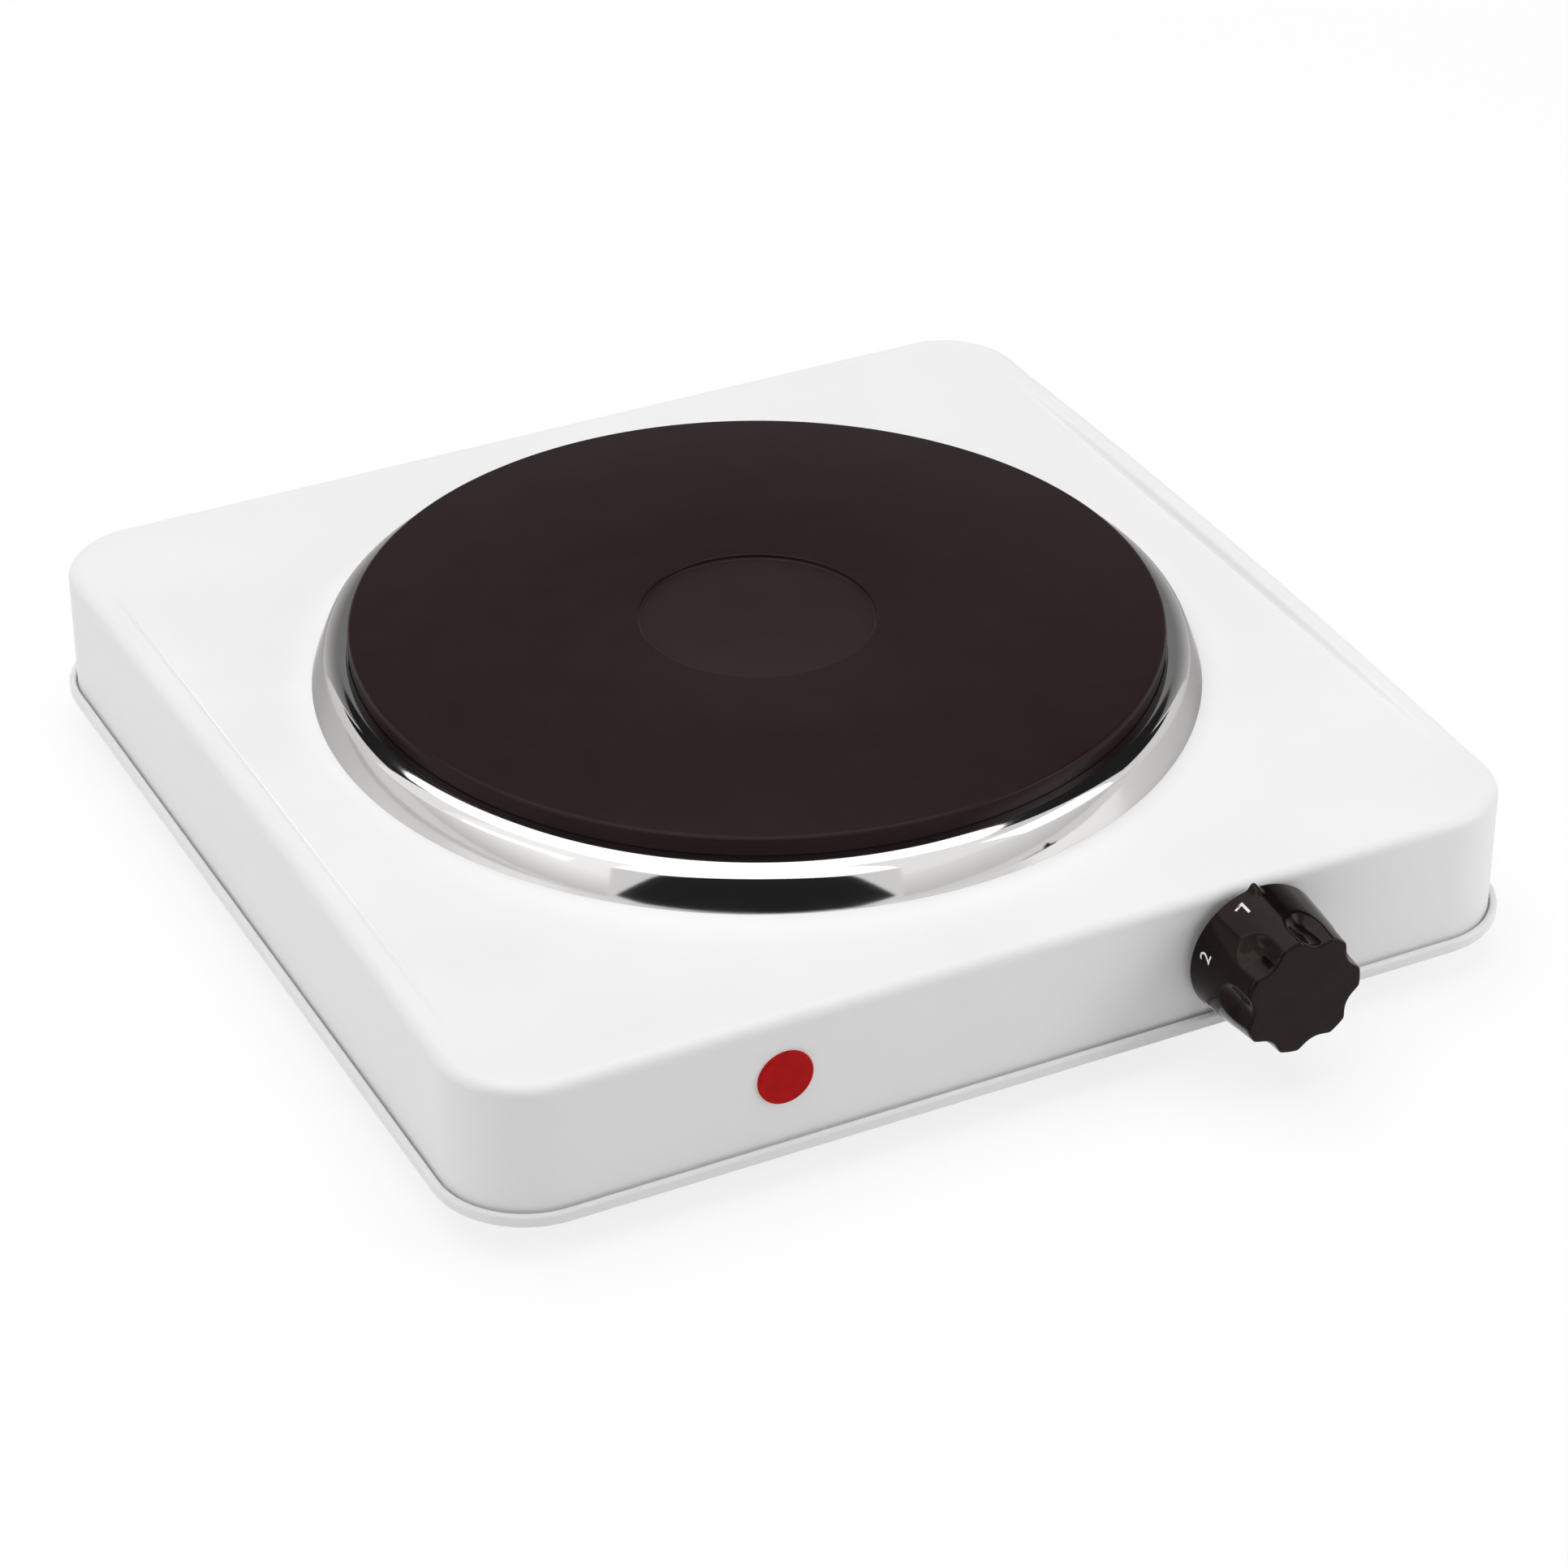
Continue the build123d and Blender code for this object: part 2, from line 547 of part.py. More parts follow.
def stud_nut():
    """The nut on the stud, below the washer."""
    nut = extrude(Pos(0, 0, STUD_NUT_BOTTOM) * hexagon(STUD_NUT_FLATS), STUD_NUT_HEIGHT)
    return on_plate_axis(nut - rod(STUD_RADIUS + PUSH_FIT, STUD_NUT_BOTTOM, STUD_NUT_TOP))


def along_knob_axis(sketch, start, end, taper=0.0):
    """A sketch on the knob's axis, seen from the front, drawn out from one plane forward to another."""
    plane = Plane((KNOB_X, start, KNOB_LEVEL), x_dir=(1, 0, 0), z_dir=(0, -1, 0))
    return extrude(plane * sketch, start - end, taper=taper)


def knob():
    """The moulded knob: a tapered body with a nib, finger scoops, a cavity behind and a D-shaped bore."""
    taper = degrees(atan((KNOB_BACK_RADIUS - KNOB_FACE_RADIUS) / (KNOB_BACK - KNOB_FACE)))
    body = along_knob_axis(Circle(KNOB_BACK_RADIUS), KNOB_BACK, KNOB_FACE, taper)
    body = fillet(body.edges().group_by(Axis.Y)[0], KNOB_EDGE_ROUND)
    nib_outline = Rot(Z=KNOB_NIB_TURN) * Pos(0, KNOB_BACK_RADIUS) * Rectangle(KNOB_NIB_WIDTH, 2 * KNOB_NIB_RISE)
    body += along_knob_axis(nib_outline, KNOB_BACK, KNOB_BACK - KNOB_NIB_LENGTH)
    for i in range(KNOB_SCOOPS):
        body -= knob_scoop(KNOB_SCOOP_TURN + i * 360 / KNOB_SCOOPS)
    body -= along_knob_axis(Circle(KNOB_CAVITY_RADIUS), KNOB_BACK, KNOB_BORE_START)
    bore = Circle(SPINDLE_RADIUS + PUSH_FIT) - spindle_flat(SPINDLE_FLAT + CLIP_SHEET + CLIP_GAP)
    return body - along_knob_axis(bore, KNOB_BORE_START, KNOB_BORE_END)


def knob_scoop(turn):
    """A finger scoop from the knob's face back: a round groove that ends in a round hollow."""
    distance = KNOB_FACE_RADIUS - KNOB_SCOOP_DEPTH + KNOB_SCOOP_RADIUS
    end = KNOB_FACE + KNOB_SCOOP_LENGTH - KNOB_SCOOP_RADIUS
    middle = Rot(Z=turn) * Pos(distance, 0)
    groove = along_knob_axis(middle * Circle(KNOB_SCOOP_RADIUS), end, KNOB_FACE)
    hollow = Rot(Y=-turn) * Pos(distance, 0, 0) * Sphere(KNOB_SCOOP_RADIUS)
    return groove + Pos(KNOB_X, end, KNOB_LEVEL) * hollow


def spindle_flat(level):
    """What is cut off the spindle's round section above its flat."""
    return Pos(0, level + SPINDLE_RADIUS) * Rectangle(4 * SPINDLE_RADIUS, 2 * SPINDLE_RADIUS)


def thermostat_spindle():
    """The steel spindle: a flat at the knob's end, a collar behind the bushing and a tip on the leaf."""
    collar_front = FRAME_BACK + BUSHING_FLANGE_LENGTH + MOVING_GAP
    collar_back = collar_front + SPINDLE_COLLAR_LENGTH
    shaft = along_knob_axis(Circle(SPINDLE_RADIUS), collar_front, SPINDLE_END)
    shaft -= along_knob_axis(spindle_flat(SPINDLE_FLAT), KNOB_BORE_START + MOVING_GAP, SPINDLE_END)
    shaft += along_knob_axis(Circle(SPINDLE_COLLAR_RADIUS), collar_back, collar_front)
    return shaft + along_knob_axis(Circle(SPINDLE_TIP_RADIUS), LEAF_FACES[0] - MOVING_GAP, collar_back)


def knob_spring_clip():
    """The flat spring on the spindle's flat that grips the knob."""
    outline = Pos(0, SPINDLE_FLAT + CLIP_SHEET / 2) * Rectangle(CLIP_WIDTH, CLIP_SHEET)
    return along_knob_axis(outline, SPINDLE_END + CLIP_LENGTH, SPINDLE_END)


def thermostat_bushing():
    """The brass bushing through frame and wall that the spindle turns in."""
    bushing = along_knob_axis(Circle(BUSHING_FLANGE_RADIUS), FRAME_BACK + BUSHING_FLANGE_LENGTH, FRAME_BACK)
    bushing += along_knob_axis(Circle(BUSHING_RADIUS), FRAME_BACK, FRONT_WALL - BUSHING_REACH)
    bore = Circle(SPINDLE_RADIUS + RUNNING_FIT)
    return bushing - along_knob_axis(bore, FRAME_BACK + BUSHING_FLANGE_LENGTH, FRONT_WALL - BUSHING_REACH)


def bushing_nut():
    """The nut on the bushing, outside the wall and inside the knob."""
    outline = hexagon(BUSHING_NUT_FLATS) - Circle(BUSHING_RADIUS + PUSH_FIT)
    return along_knob_axis(outline, FRONT_WALL, FRONT_WALL - BUSHING_NUT_LENGTH)


def thermostat_frame():
    """The steel frame plate, clamped to the inside of the wall by the bushing."""
    plate = block(
        (STACK_X - FRAME_MARGIN, KNOB_X + FRAME_MARGIN),
        (FRONT_INSIDE, FRAME_BACK),
        (KNOB_LEVEL - FRAME_HEIGHT / 2, KNOB_LEVEL + FRAME_HEIGHT / 2),
    )
    plate -= bar_along_y(BUSHING_RADIUS + PUSH_FIT, FRONT_INSIDE, FRAME_BACK, KNOB_X, KNOB_LEVEL)
    return plate - bar_along_y(RIVET_RADIUS + PUSH_FIT, FRONT_INSIDE, FRAME_BACK, STACK_X, KNOB_LEVEL)


def ceramic_spacers():
    """The ceramic rings that keep the leaves apart on their rivet."""
    rings = []
    for back in LEAF_FACES:
        ring = bar_along_y(SPACER_RADIUS, back - SPACER_LENGTH, back, STACK_X, KNOB_LEVEL)
        rings.append(ring - bar_along_y(RIVET_RADIUS + PUSH_FIT, back - SPACER_LENGTH, back, STACK_X, KNOB_LEVEL))
    return rings


def leaf(front, sheet, terminal_reach=0.0, terminal_level=0.0):
    """A spring leaf on the rivet, reaching past the spindle, with a terminal at its other end if it has one."""
    y_range = (front, front + sheet)
    strip = block(
        (STACK_X - SPACER_RADIUS, KNOB_X + LEAF_END),
        y_range,
        (KNOB_LEVEL - LEAF_WIDTH / 2, KNOB_LEVEL + LEAF_WIDTH / 2),
    )
    if terminal_reach:
        strip += block(
            (STACK_X - SPACER_RADIUS - terminal_reach, STACK_X - SPACER_RADIUS),
            y_range,
            (terminal_level - TERMINAL_WIDTH / 2, terminal_level + TERMINAL_WIDTH / 2),
        )
    return strip - bar_along_y(RIVET_RADIUS + PUSH_FIT, front, front + sheet, STACK_X, KNOB_LEVEL)


def contact_rivets():
    """The two contacts, one on each of the first two leaves, a little apart."""
    first = LEAF_FACES[0] + LEAF_SHEET
    second = LEAF_FACES[1]
    middle = (first + second) / 2
    return [
        bar_along_y(CONTACT_RADIUS, first, middle - CONTACT_GAP / 2, KNOB_X, KNOB_LEVEL),
        bar_along_y(CONTACT_RADIUS, middle + CONTACT_GAP / 2, second, KNOB_X, KNOB_LEVEL),
    ]


def stack_rivet():
    """The rivet that holds frame, spacers and leaves together."""
    end = LEAF_FACES[-1] + BIMETAL_SHEET
    rivet = bar_along_y(RIVET_RADIUS, FRONT_INSIDE, end, STACK_X, KNOB_LEVEL)
    return rivet + bar_along_y(RIVET_HEAD_RADIUS, end, end + RIVET_HEAD_LENGTH, STACK_X, KNOB_LEVEL)


def lamp_lens():
    """The red lens: a thin flange on the wall and a hollow barrel through it."""
    end = FRONT_WALL + LENS_BARREL_LENGTH
    lens = bar_along_y(LENS_RADIUS, FRONT_WALL - LENS_FLANGE, FRONT_WALL, LAMP_X, LAMP_LEVEL)
    lens = fillet(lens.edges().group_by(Axis.Y)[0], LENS_EDGE_ROUND)
    lens += bar_along_y(LENS_BARREL_RADIUS, FRONT_WALL, end, LAMP_X, LAMP_LEVEL)
    start = FRONT_WALL - LENS_FLANGE + LENS_FACE_WALL
    return lens - bar_along_y(LENS_BARREL_RADIUS - LENS_WALL, start, end, LAMP_X, LAMP_LEVEL)


def lamp_retainer():
    """The push-on washer that holds the lens to the inside of the wall."""
    ring = bar_along_y(RETAINER_RADIUS, FRONT_INSIDE, FRONT_INSIDE + RETAINER_SHEET, LAMP_X, LAMP_LEVEL)
    bore = LENS_BARREL_RADIUS + PUSH_FIT
    return ring - bar_along_y(bore, FRONT_INSIDE, FRONT_INSIDE + RETAINER_SHEET, LAMP_X, LAMP_LEVEL)


def lamp_plug():
    """The plug that closes the barrel behind the bulb."""
    end = FRONT_WALL + LENS_BARREL_LENGTH
    plug = bar_along_y(LENS_BARREL_RADIUS - LENS_WALL - PUSH_FIT, end - LAMP_PLUG_DEPTH, end, LAMP_X, LAMP_LEVEL)
    return plug + bar_along_y(LENS_BARREL_RADIUS, end, end + LAMP_PLUG_COLLAR, LAMP_X, LAMP_LEVEL)


def neon_bulb():
    """The glow lamp, with a round end, standing on its plug."""
    seat = FRONT_WALL + LENS_BARREL_LENGTH - LAMP_PLUG_DEPTH
    bulb = bar_along_y(BULB_RADIUS, seat - BULB_LENGTH + BULB_RADIUS, seat, LAMP_X, LAMP_LEVEL)
    return bulb + Pos(LAMP_X, seat - BULB_LENGTH + BULB_RADIUS, LAMP_LEVEL) * Sphere(BULB_RADIUS)


def cord_gland():
    """The gland in the back wall: a flange and a tapered nose outside, a neck through the wall, and a bore."""
    flange_end = BACK_WALL + GLAND_FLANGE_LENGTH
    gland = bar_along_y(GLAND_FLANGE_RADIUS, BACK_WALL, flange_end, GLAND_X, GLAND_LEVEL)
    nose_length = GLAND_REACH - GLAND_FLANGE_LENGTH
    nose = Cone(GLAND_NOSE_ROOT_RADIUS, GLAND_NOSE_RADIUS, nose_length)
    gland += Pos(GLAND_X, flange_end + nose_length / 2, GLAND_LEVEL) * Rot(X=-90) * nose
    inner_end = BACK_WALL - GLAND_NECK_LENGTH
    gland += bar_along_y(GLAND_NECK_RADIUS, inner_end, BACK_WALL, GLAND_X, GLAND_LEVEL)
    return gland - bar_along_y(GLAND_BORE_RADIUS, inner_end, BACK_WALL + GLAND_REACH, GLAND_X, GLAND_LEVEL)


def gland_nut():
    """The nut that holds the gland from the inside."""
    plane = Plane((GLAND_X, BACK_INSIDE, GLAND_LEVEL), x_dir=(1, 0, 0), z_dir=(0, -1, 0))
    outline = hexagon(GLAND_NUT_FLATS) - Circle(GLAND_NECK_RADIUS + PUSH_FIT)
    return extrude(plane * outline, GLAND_NUT_LENGTH)


def block_ways():
    """The places along X of the three ways of the terminal block."""
    return [BLOCK_X + i * BLOCK_PITCH for i in (-1, 0, 1)]


def block_fixings():
    """The places along X of the two screws between the ways."""
    return [BLOCK_X + i * BLOCK_PITCH / 2 for i in (-1, 1)]


def terminal_screw_places():
    """The places of the clamping screws, two to each way."""
    inset = BLOCK_DEPTH / 2 - TERMINAL_SCREW_INSET
    return [(x, BLOCK_Y + side * inset) for x in block_ways() for side in (-1, 1)]


def terminal_block():
    """The insulating block, with a hole for each clamping screw and two for the fixing screws."""
    top = PAN_FLOOR + BLOCK_HEIGHT
    body = block(
        (BLOCK_X - BLOCK_WIDTH / 2, BLOCK_X + BLOCK_WIDTH / 2),
        (BLOCK_Y - BLOCK_DEPTH / 2, BLOCK_Y + BLOCK_DEPTH / 2),
        (PAN_FLOOR, top),
    )
    for x, y in terminal_screw_places():
        body -= rod(TERMINAL_SCREW_RADIUS + PUSH_FIT, top - TERMINAL_SCREW_LENGTH, top, x, y)
    for x in block_fixings():
        body -= rod(BLOCK_SCREW_RADIUS + BOLT_GAP, PAN_FLOOR, top, x, BLOCK_Y)
        body -= rod(BLOCK_SCREW_HEAD_RADIUS + BOLT_GAP, PAN_FLOOR + BLOCK_FIXING_DEPTH, top, x, BLOCK_Y)
    return body


def terminal_screws():
    """The clamping screws, flush with the top of the block."""
    top = PAN_FLOOR + BLOCK_HEIGHT
    return [rod(TERMINAL_SCREW_RADIUS, top - TERMINAL_SCREW_LENGTH, top, x, y) for x, y in terminal_screw_places()]


def block_screws():
    """The two screws that hold the block down on the pan."""
    seat = PAN_FLOOR + BLOCK_FIXING_DEPTH
    screws = []
    for x in block_fixings():
        shank = rod(BLOCK_SCREW_RADIUS, FOOT_HEIGHT, seat, x, BLOCK_Y)
        screws.append(shank + rod(BLOCK_SCREW_HEAD_RADIUS, seat, seat + BLOCK_SCREW_HEAD, x, BLOCK_Y))
    return screws


def earth_screw():
    """The earth screw, up through the pan."""
    head = rod(EARTH_HEAD_RADIUS, FOOT_HEIGHT - EARTH_HEAD_HEIGHT, FOOT_HEIGHT, EARTH_X, EARTH_Y)
    return head + rod(EARTH_SCREW_RADIUS, FOOT_HEIGHT, FOOT_HEIGHT + EARTH_SCREW_LENGTH, EARTH_X, EARTH_Y)


def earth_nut():
    """The nut on the earth screw, with a flat towards the terminal block."""
    outline = Rot(Z=30) * hexagon(EARTH_NUT_FLATS) - Circle(EARTH_SCREW_RADIUS + PUSH_FIT)
    return Pos(EARTH_X, EARTH_Y, PAN_FLOOR) * extrude(outline, EARTH_NUT_HEIGHT)


def lead(*points):
    """An insulated lead of straight runs and round bends."""
    path = FilletPolyline(*points, radius=LEAD_BEND_RADIUS)
    section = Plane(path @ 0, z_dir=path % 0) * Circle(LEAD_RADIUS)
    return sweep(section, path)


def live_lead():
    """From the block's right way, forward along the pan and up to the terminal of the regulating leaf."""
    way = block_ways()[2]
    terminal = STACK_X - SPACER_RADIUS - REGULATING_TERMINAL_REACH + TERMINAL_WIDTH
    return lead(
        (way, BLOCK_FRONT, LEAD_LEVEL),
        (way, FRONT_WALL + LEAD_CROSS, LEAD_LEVEL),
        (terminal, FRONT_WALL + LEAD_DOWN, LEAD_LEVEL),
        (terminal, FRONT_WALL + LEAD_LEAVE, REGULATING_TERMINAL_LEVEL),
        (terminal, LEAF_FACES[0] + LEAF_SHEET, REGULATING_TERMINAL_LEVEL),
    )


def switched_lead():
    """From the terminal of the contact leaf, back under the plate and up to the inner pin of the coil."""
    terminal = STACK_X - SPACER_RADIUS - TERMINAL_WIDTH
    pin_x, pin_y = coil_pins()[0]
    return lead(
        (terminal, LEAF_FACES[1] + LEAF_SHEET, CONTACT_TERMINAL_LEVEL),
        (terminal, FRONT_WALL + LEAD_LEAVE, CONTACT_TERMINAL_LEVEL),
        (terminal, FRONT_WALL + LEAD_DOWN, UPPER_LEAD_LEVEL),
        (terminal - LEAD_SLANT, pin_y - PIN_LEAD_RUN, UPPER_LEAD_LEVEL),
        (pin_x, pin_y, UPPER_LEAD_LEVEL),
        (pin_x, pin_y, PIN_BOTTOM),
    )


def neutral_lead():
    """From the block's middle way, aside under the plate and up to the outer pin of the coil."""
    way = block_ways()[1]
    pin_x, pin_y = coil_pins()[1]
    turn = min(BLOCK_FRONT, pin_y) - BLOCK_LEAD_RUN
    return lead(
        (way, BLOCK_FRONT, UPPER_LEAD_LEVEL),
        (way, turn, UPPER_LEAD_LEVEL),
        (pin_x, turn, UPPER_LEAD_LEVEL),
        (pin_x, pin_y, UPPER_LEAD_LEVEL),
        (pin_x, pin_y, PIN_BOTTOM),
    )


def earth_lead():
    """From the block's left way along the pan to a flat of the earth nut."""
    way = block_ways()[0]
    level = PAN_FLOOR + EARTH_NUT_HEIGHT / 2
    flat = EARTH_X + EARTH_NUT_FLATS / 2
    return lead(
        (way, BLOCK_FRONT, LEAD_LEVEL),
        (way, BLOCK_FRONT - BLOCK_LEAD_RUN, LEAD_LEVEL),
        (flat + 2 * BLOCK_LEAD_RUN, BLOCK_FRONT - BLOCK_LEAD_RUN, level),
        (flat + BLOCK_LEAD_RUN, EARTH_Y, level),
        (flat, EARTH_Y, level),
    )


def lamp_switched_lead():
    """From the lamp's plug across to the terminal of the contact leaf."""
    start = LAMP_X + LAMP_LEAD_SPREAD
    terminal = STACK_X - SPACER_RADIUS - CONTACT_TERMINAL_REACH + TERMINAL_WIDTH
    return lead(
        (start, LAMP_BACK, LAMP_LEVEL),
        (start, FRONT_WALL + LEAD_LEAVE, LAMP_LEVEL),
        (start + LEAD_SLANT, FRONT_WALL + LAMP_LEAD_CROSS, UPPER_LEAD_LEVEL),
        (terminal - LEAD_SLANT, FRONT_WALL + LAMP_LEAD_CROSS, UPPER_LEAD_LEVEL),
        (terminal, FRONT_WALL + LEAD_LEAVE, CONTACT_TERMINAL_LEVEL),
        (terminal, LEAF_FACES[1] + LEAF_SHEET, CONTACT_TERMINAL_LEVEL),
    )


def lamp_neutral_lead():
    """From the lamp's plug along the pan to the block's middle way."""
    start = LAMP_X - LAMP_LEAD_SPREAD
    way = block_ways()[1]
    return lead(
        (start, LAMP_BACK, LAMP_LEVEL),
        (start, FRONT_WALL + LEAD_LEAVE, LAMP_LEVEL),
        (start, FRONT_WALL + LAMP_LEAD_CROSS, LEAD_LEVEL),
        (start, BLOCK_FRONT - LAMP_LEAD_TURN, LEAD_LEVEL),
        (way, BLOCK_FRONT - LAMP_LEAD_TURN / 2, LEAD_LEVEL),
        (way, BLOCK_FRONT, LEAD_LEVEL),
    )


def place(name, part):
    """Keeps a piece, or a group of like pieces, under its name at its place in the part's frame."""
    solids = part if isinstance(part, list) else [part]
    moved = [Pos(0, FRAME_SHIFT, 0) * solid for solid in solids]
    pieces[name] = moved[0] if len(moved) == 1 else Compound(children=moved)


corners = four_corners(FOOT_X, FOOT_Y)
place("top_housing", top_housing())
place("base_pan", base_pan())
for corner, (foot_x, foot_y) in corners.items():
    place("foot_" + corner, foot(foot_x, foot_y))
place("foot_screws", [foot_screw(x, y) for x, y in corners.values()])
place("base_tabs", [base_tab(x, y) for x, y in corners.values()])

place("cast_iron_plate", cast_iron_plate())
place("spill_ring", spill_ring())
place("insulation_filler", insulation_filler())
place("heating_coil", coil_tube(COIL_RADIUS))
place("coil_pins", [coil_pin(x, y) for x, y in coil_pins()])
place("pin_bushes", [pin_bush(x, y) for x, y in coil_pins()])
place("plate_cover_disc", plate_cover_disc())
place("centre_stud", centre_stud())
place("plate_bracket", plate_bracket())
place("stud_washer", stud_washer())
place("stud_nut", stud_nut())

place("knob", knob())
place("knob_spring_clip", knob_spring_clip())
place("thermostat_spindle", thermostat_spindle())
place("thermostat_bushing", thermostat_bushing())
place("bushing_nut", bushing_nut())
place("thermostat_frame", thermostat_frame())
place("ceramic_spacers", ceramic_spacers())
place("regulating_leaf", leaf(LEAF_FACES[0], LEAF_SHEET, REGULATING_TERMINAL_REACH, REGULATING_TERMINAL_LEVEL))
place("contact_leaf", leaf(LEAF_FACES[1], LEAF_SHEET, CONTACT_TERMINAL_REACH, CONTACT_TERMINAL_LEVEL))
place("bimetal_strip", leaf(LEAF_FACES[2], BIMETAL_SHEET))
place("contact_rivets", contact_rivets())
place("stack_rivet", stack_rivet())

place("lamp_lens", lamp_lens())
place("lamp_retainer", lamp_retainer())
place("lamp_plug", lamp_plug())
place("neon_bulb", neon_bulb())

place("cord_gland", cord_gland())
place("gland_nut", gland_nut())
place("terminal_block", terminal_block())
place("terminal_screws", terminal_screws())
place("block_screws", block_screws())
place("earth_screw", earth_screw())
place("earth_nut", earth_nut())

place("live_lead", live_lead())
place("switched_lead", switched_lead())
place("neutral_lead", neutral_lead())
place("earth_lead", earth_lead())
place("lamp_switched_lead", lamp_switched_lead())
place("lamp_neutral_lead", lamp_neutral_lead())

os.makedirs("parts", exist_ok=True)
for name, piece in pieces.items():
    export_step(piece, "parts/" + name + ".step")
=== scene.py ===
import json
import math

import bmesh
import bpy
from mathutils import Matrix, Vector


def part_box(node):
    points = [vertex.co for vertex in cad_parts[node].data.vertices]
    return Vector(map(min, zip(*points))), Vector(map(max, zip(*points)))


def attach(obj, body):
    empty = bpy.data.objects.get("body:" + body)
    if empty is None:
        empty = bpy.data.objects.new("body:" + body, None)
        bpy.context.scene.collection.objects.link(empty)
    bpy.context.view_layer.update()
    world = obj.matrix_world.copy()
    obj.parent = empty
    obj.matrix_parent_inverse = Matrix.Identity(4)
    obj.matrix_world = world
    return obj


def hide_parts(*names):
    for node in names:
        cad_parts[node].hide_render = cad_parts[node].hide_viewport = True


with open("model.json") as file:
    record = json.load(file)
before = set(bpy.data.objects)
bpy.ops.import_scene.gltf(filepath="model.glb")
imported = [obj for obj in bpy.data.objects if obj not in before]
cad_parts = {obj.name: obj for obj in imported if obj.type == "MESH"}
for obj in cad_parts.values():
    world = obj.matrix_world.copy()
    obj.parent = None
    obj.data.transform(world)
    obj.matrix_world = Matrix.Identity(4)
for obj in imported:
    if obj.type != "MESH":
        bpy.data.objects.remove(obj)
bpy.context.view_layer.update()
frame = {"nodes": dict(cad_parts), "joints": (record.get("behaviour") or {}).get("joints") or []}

# Top housing: one sheet of steel, drawn to a shallow box with round corners, and painted white.
# A long bead swells out of each side edge and sinks back before the corners.
# It stands in the rim of the base pan and carries the plate, the knob and the lamp.
MM = 0.001
housing_low, housing_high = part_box("top_housing")
plate_low, plate_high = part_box("cast_iron_plate")
ring_low, ring_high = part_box("spill_ring")
housing_middle = (housing_low + housing_high) / 2
plate_axis = (plate_low + plate_high) / 2
panel_level = ring_low.z
ring_overlap = 6.0 * MM
panel_hole_radius = (ring_high.x - ring_low.x) / 2 - ring_overlap
shell_sheet = 0.7 * MM
corner_radius = 19.5 * MM
top_edge_radius = 3.0 * MM
bead_foot = 7.5 * MM
bead_slope = 2.7 * MM
bead_fold_width = 1.8 * MM
bead_fold_depth = 0.6 * MM
bead_rise = housing_high.z - panel_level
bead_half_length = 100 * MM
bead_steps = 32
edge_steps = 10
wall_steps = 4
panel_steps = 8
side_points = 56
corner_points = 14
bushing_hole_radius = 5.2 * MM
lamp_hole_radius = 5.2 * MM
gland_hole_radius = 6.2 * MM


def ring_mesh(name, rings, wrap=False):
    """A mesh through closed rings of points, each with as many points as the next."""
    count = len(rings[0])
    shape = bmesh.new()
    loops = [[shape.verts.new(point) for point in ring] for ring in rings]
    pairs = list(zip(loops, loops[1:]))
    if wrap:
        pairs.append((loops[-1], loops[0]))
    for near, far in pairs:
        for i in range(count):
            j = (i + 1) % count
            shape.faces.new((near[i], near[j], far[j], far[i]))
    bmesh.ops.remove_doubles(shape, verts=shape.verts, dist=1e-7)
    bmesh.ops.recalc_face_normals(shape, faces=shape.faces)
    mesh = bpy.data.meshes.new(name)
    shape.to_mesh(mesh)
    shape.free()
    piece = bpy.data.objects.new(name, mesh)
    bpy.context.scene.collection.objects.link(piece)
    return smooth(piece)


def smooth(piece, crease=35):
    """Shades a piece smooth, with sharp edges where its faces meet at more than the crease angle."""
    piece.data.shade_smooth()
    piece.data.set_sharp_from_angle(angle=math.radians(crease))
    return piece


def rounded_outline(half_width, half_depth, radius, side_steps, corner_steps):
    """Points round a rectangle with round corners, each with its outward direction."""
    points = []
    corners = [(1, 1), (-1, 1), (-1, -1), (1, -1)]
    for i, (side, end) in enumerate(corners):
        centre = Vector((side * (half_width - radius), end * (half_depth - radius)))
        for k in range(corner_steps):
            angle = math.radians(90 * (i + k / corner_steps))
            outward = Vector((math.cos(angle), math.sin(angle)))
            points.append((centre + radius * outward, outward))
        next_side, next_end = corners[(i + 1) % 4]
        next_centre = Vector((next_side * (half_width - radius), next_end * (half_depth - radius)))
        angle = math.radians(90 * (i + 1))
        outward = Vector((math.cos(angle), math.sin(angle)))
        for k in range(side_steps):
            points.append((centre.lerp(next_centre, k / side_steps) + radius * outward, outward))
    return points


def edge_section(rise, inset):
    """Distance in from the wall and level of the sheet, from the panel over the edge to the foot."""
    radius = top_edge_radius - inset
    centre_level = panel_level + rise - top_edge_radius
    section = []
    for k in range(bead_steps + 1):
        distance = bead_foot + (top_edge_radius - bead_foot) * k / bead_steps
        share = min((bead_foot - distance) / bead_slope, 1)
        fold = max(0, 1 - (2 * (bead_foot - distance) / bead_fold_width - 1) ** 2) * bead_fold_depth
        swell = (1 - math.cos(math.pi * share)) / 2 - fold / bead_rise
        section.append((distance, panel_level - inset + rise * swell))
    for k in range(1, edge_steps + 1):
        angle = math.radians(90 - 90 * k / edge_steps)
        distance = top_edge_radius - radius * math.cos(angle)
        section.append((distance, centre_level + radius * math.sin(angle)))
    for k in range(1, wall_steps + 1):
        section.append((inset, centre_level + (housing_low.z - centre_level) * k / wall_steps))
    return section


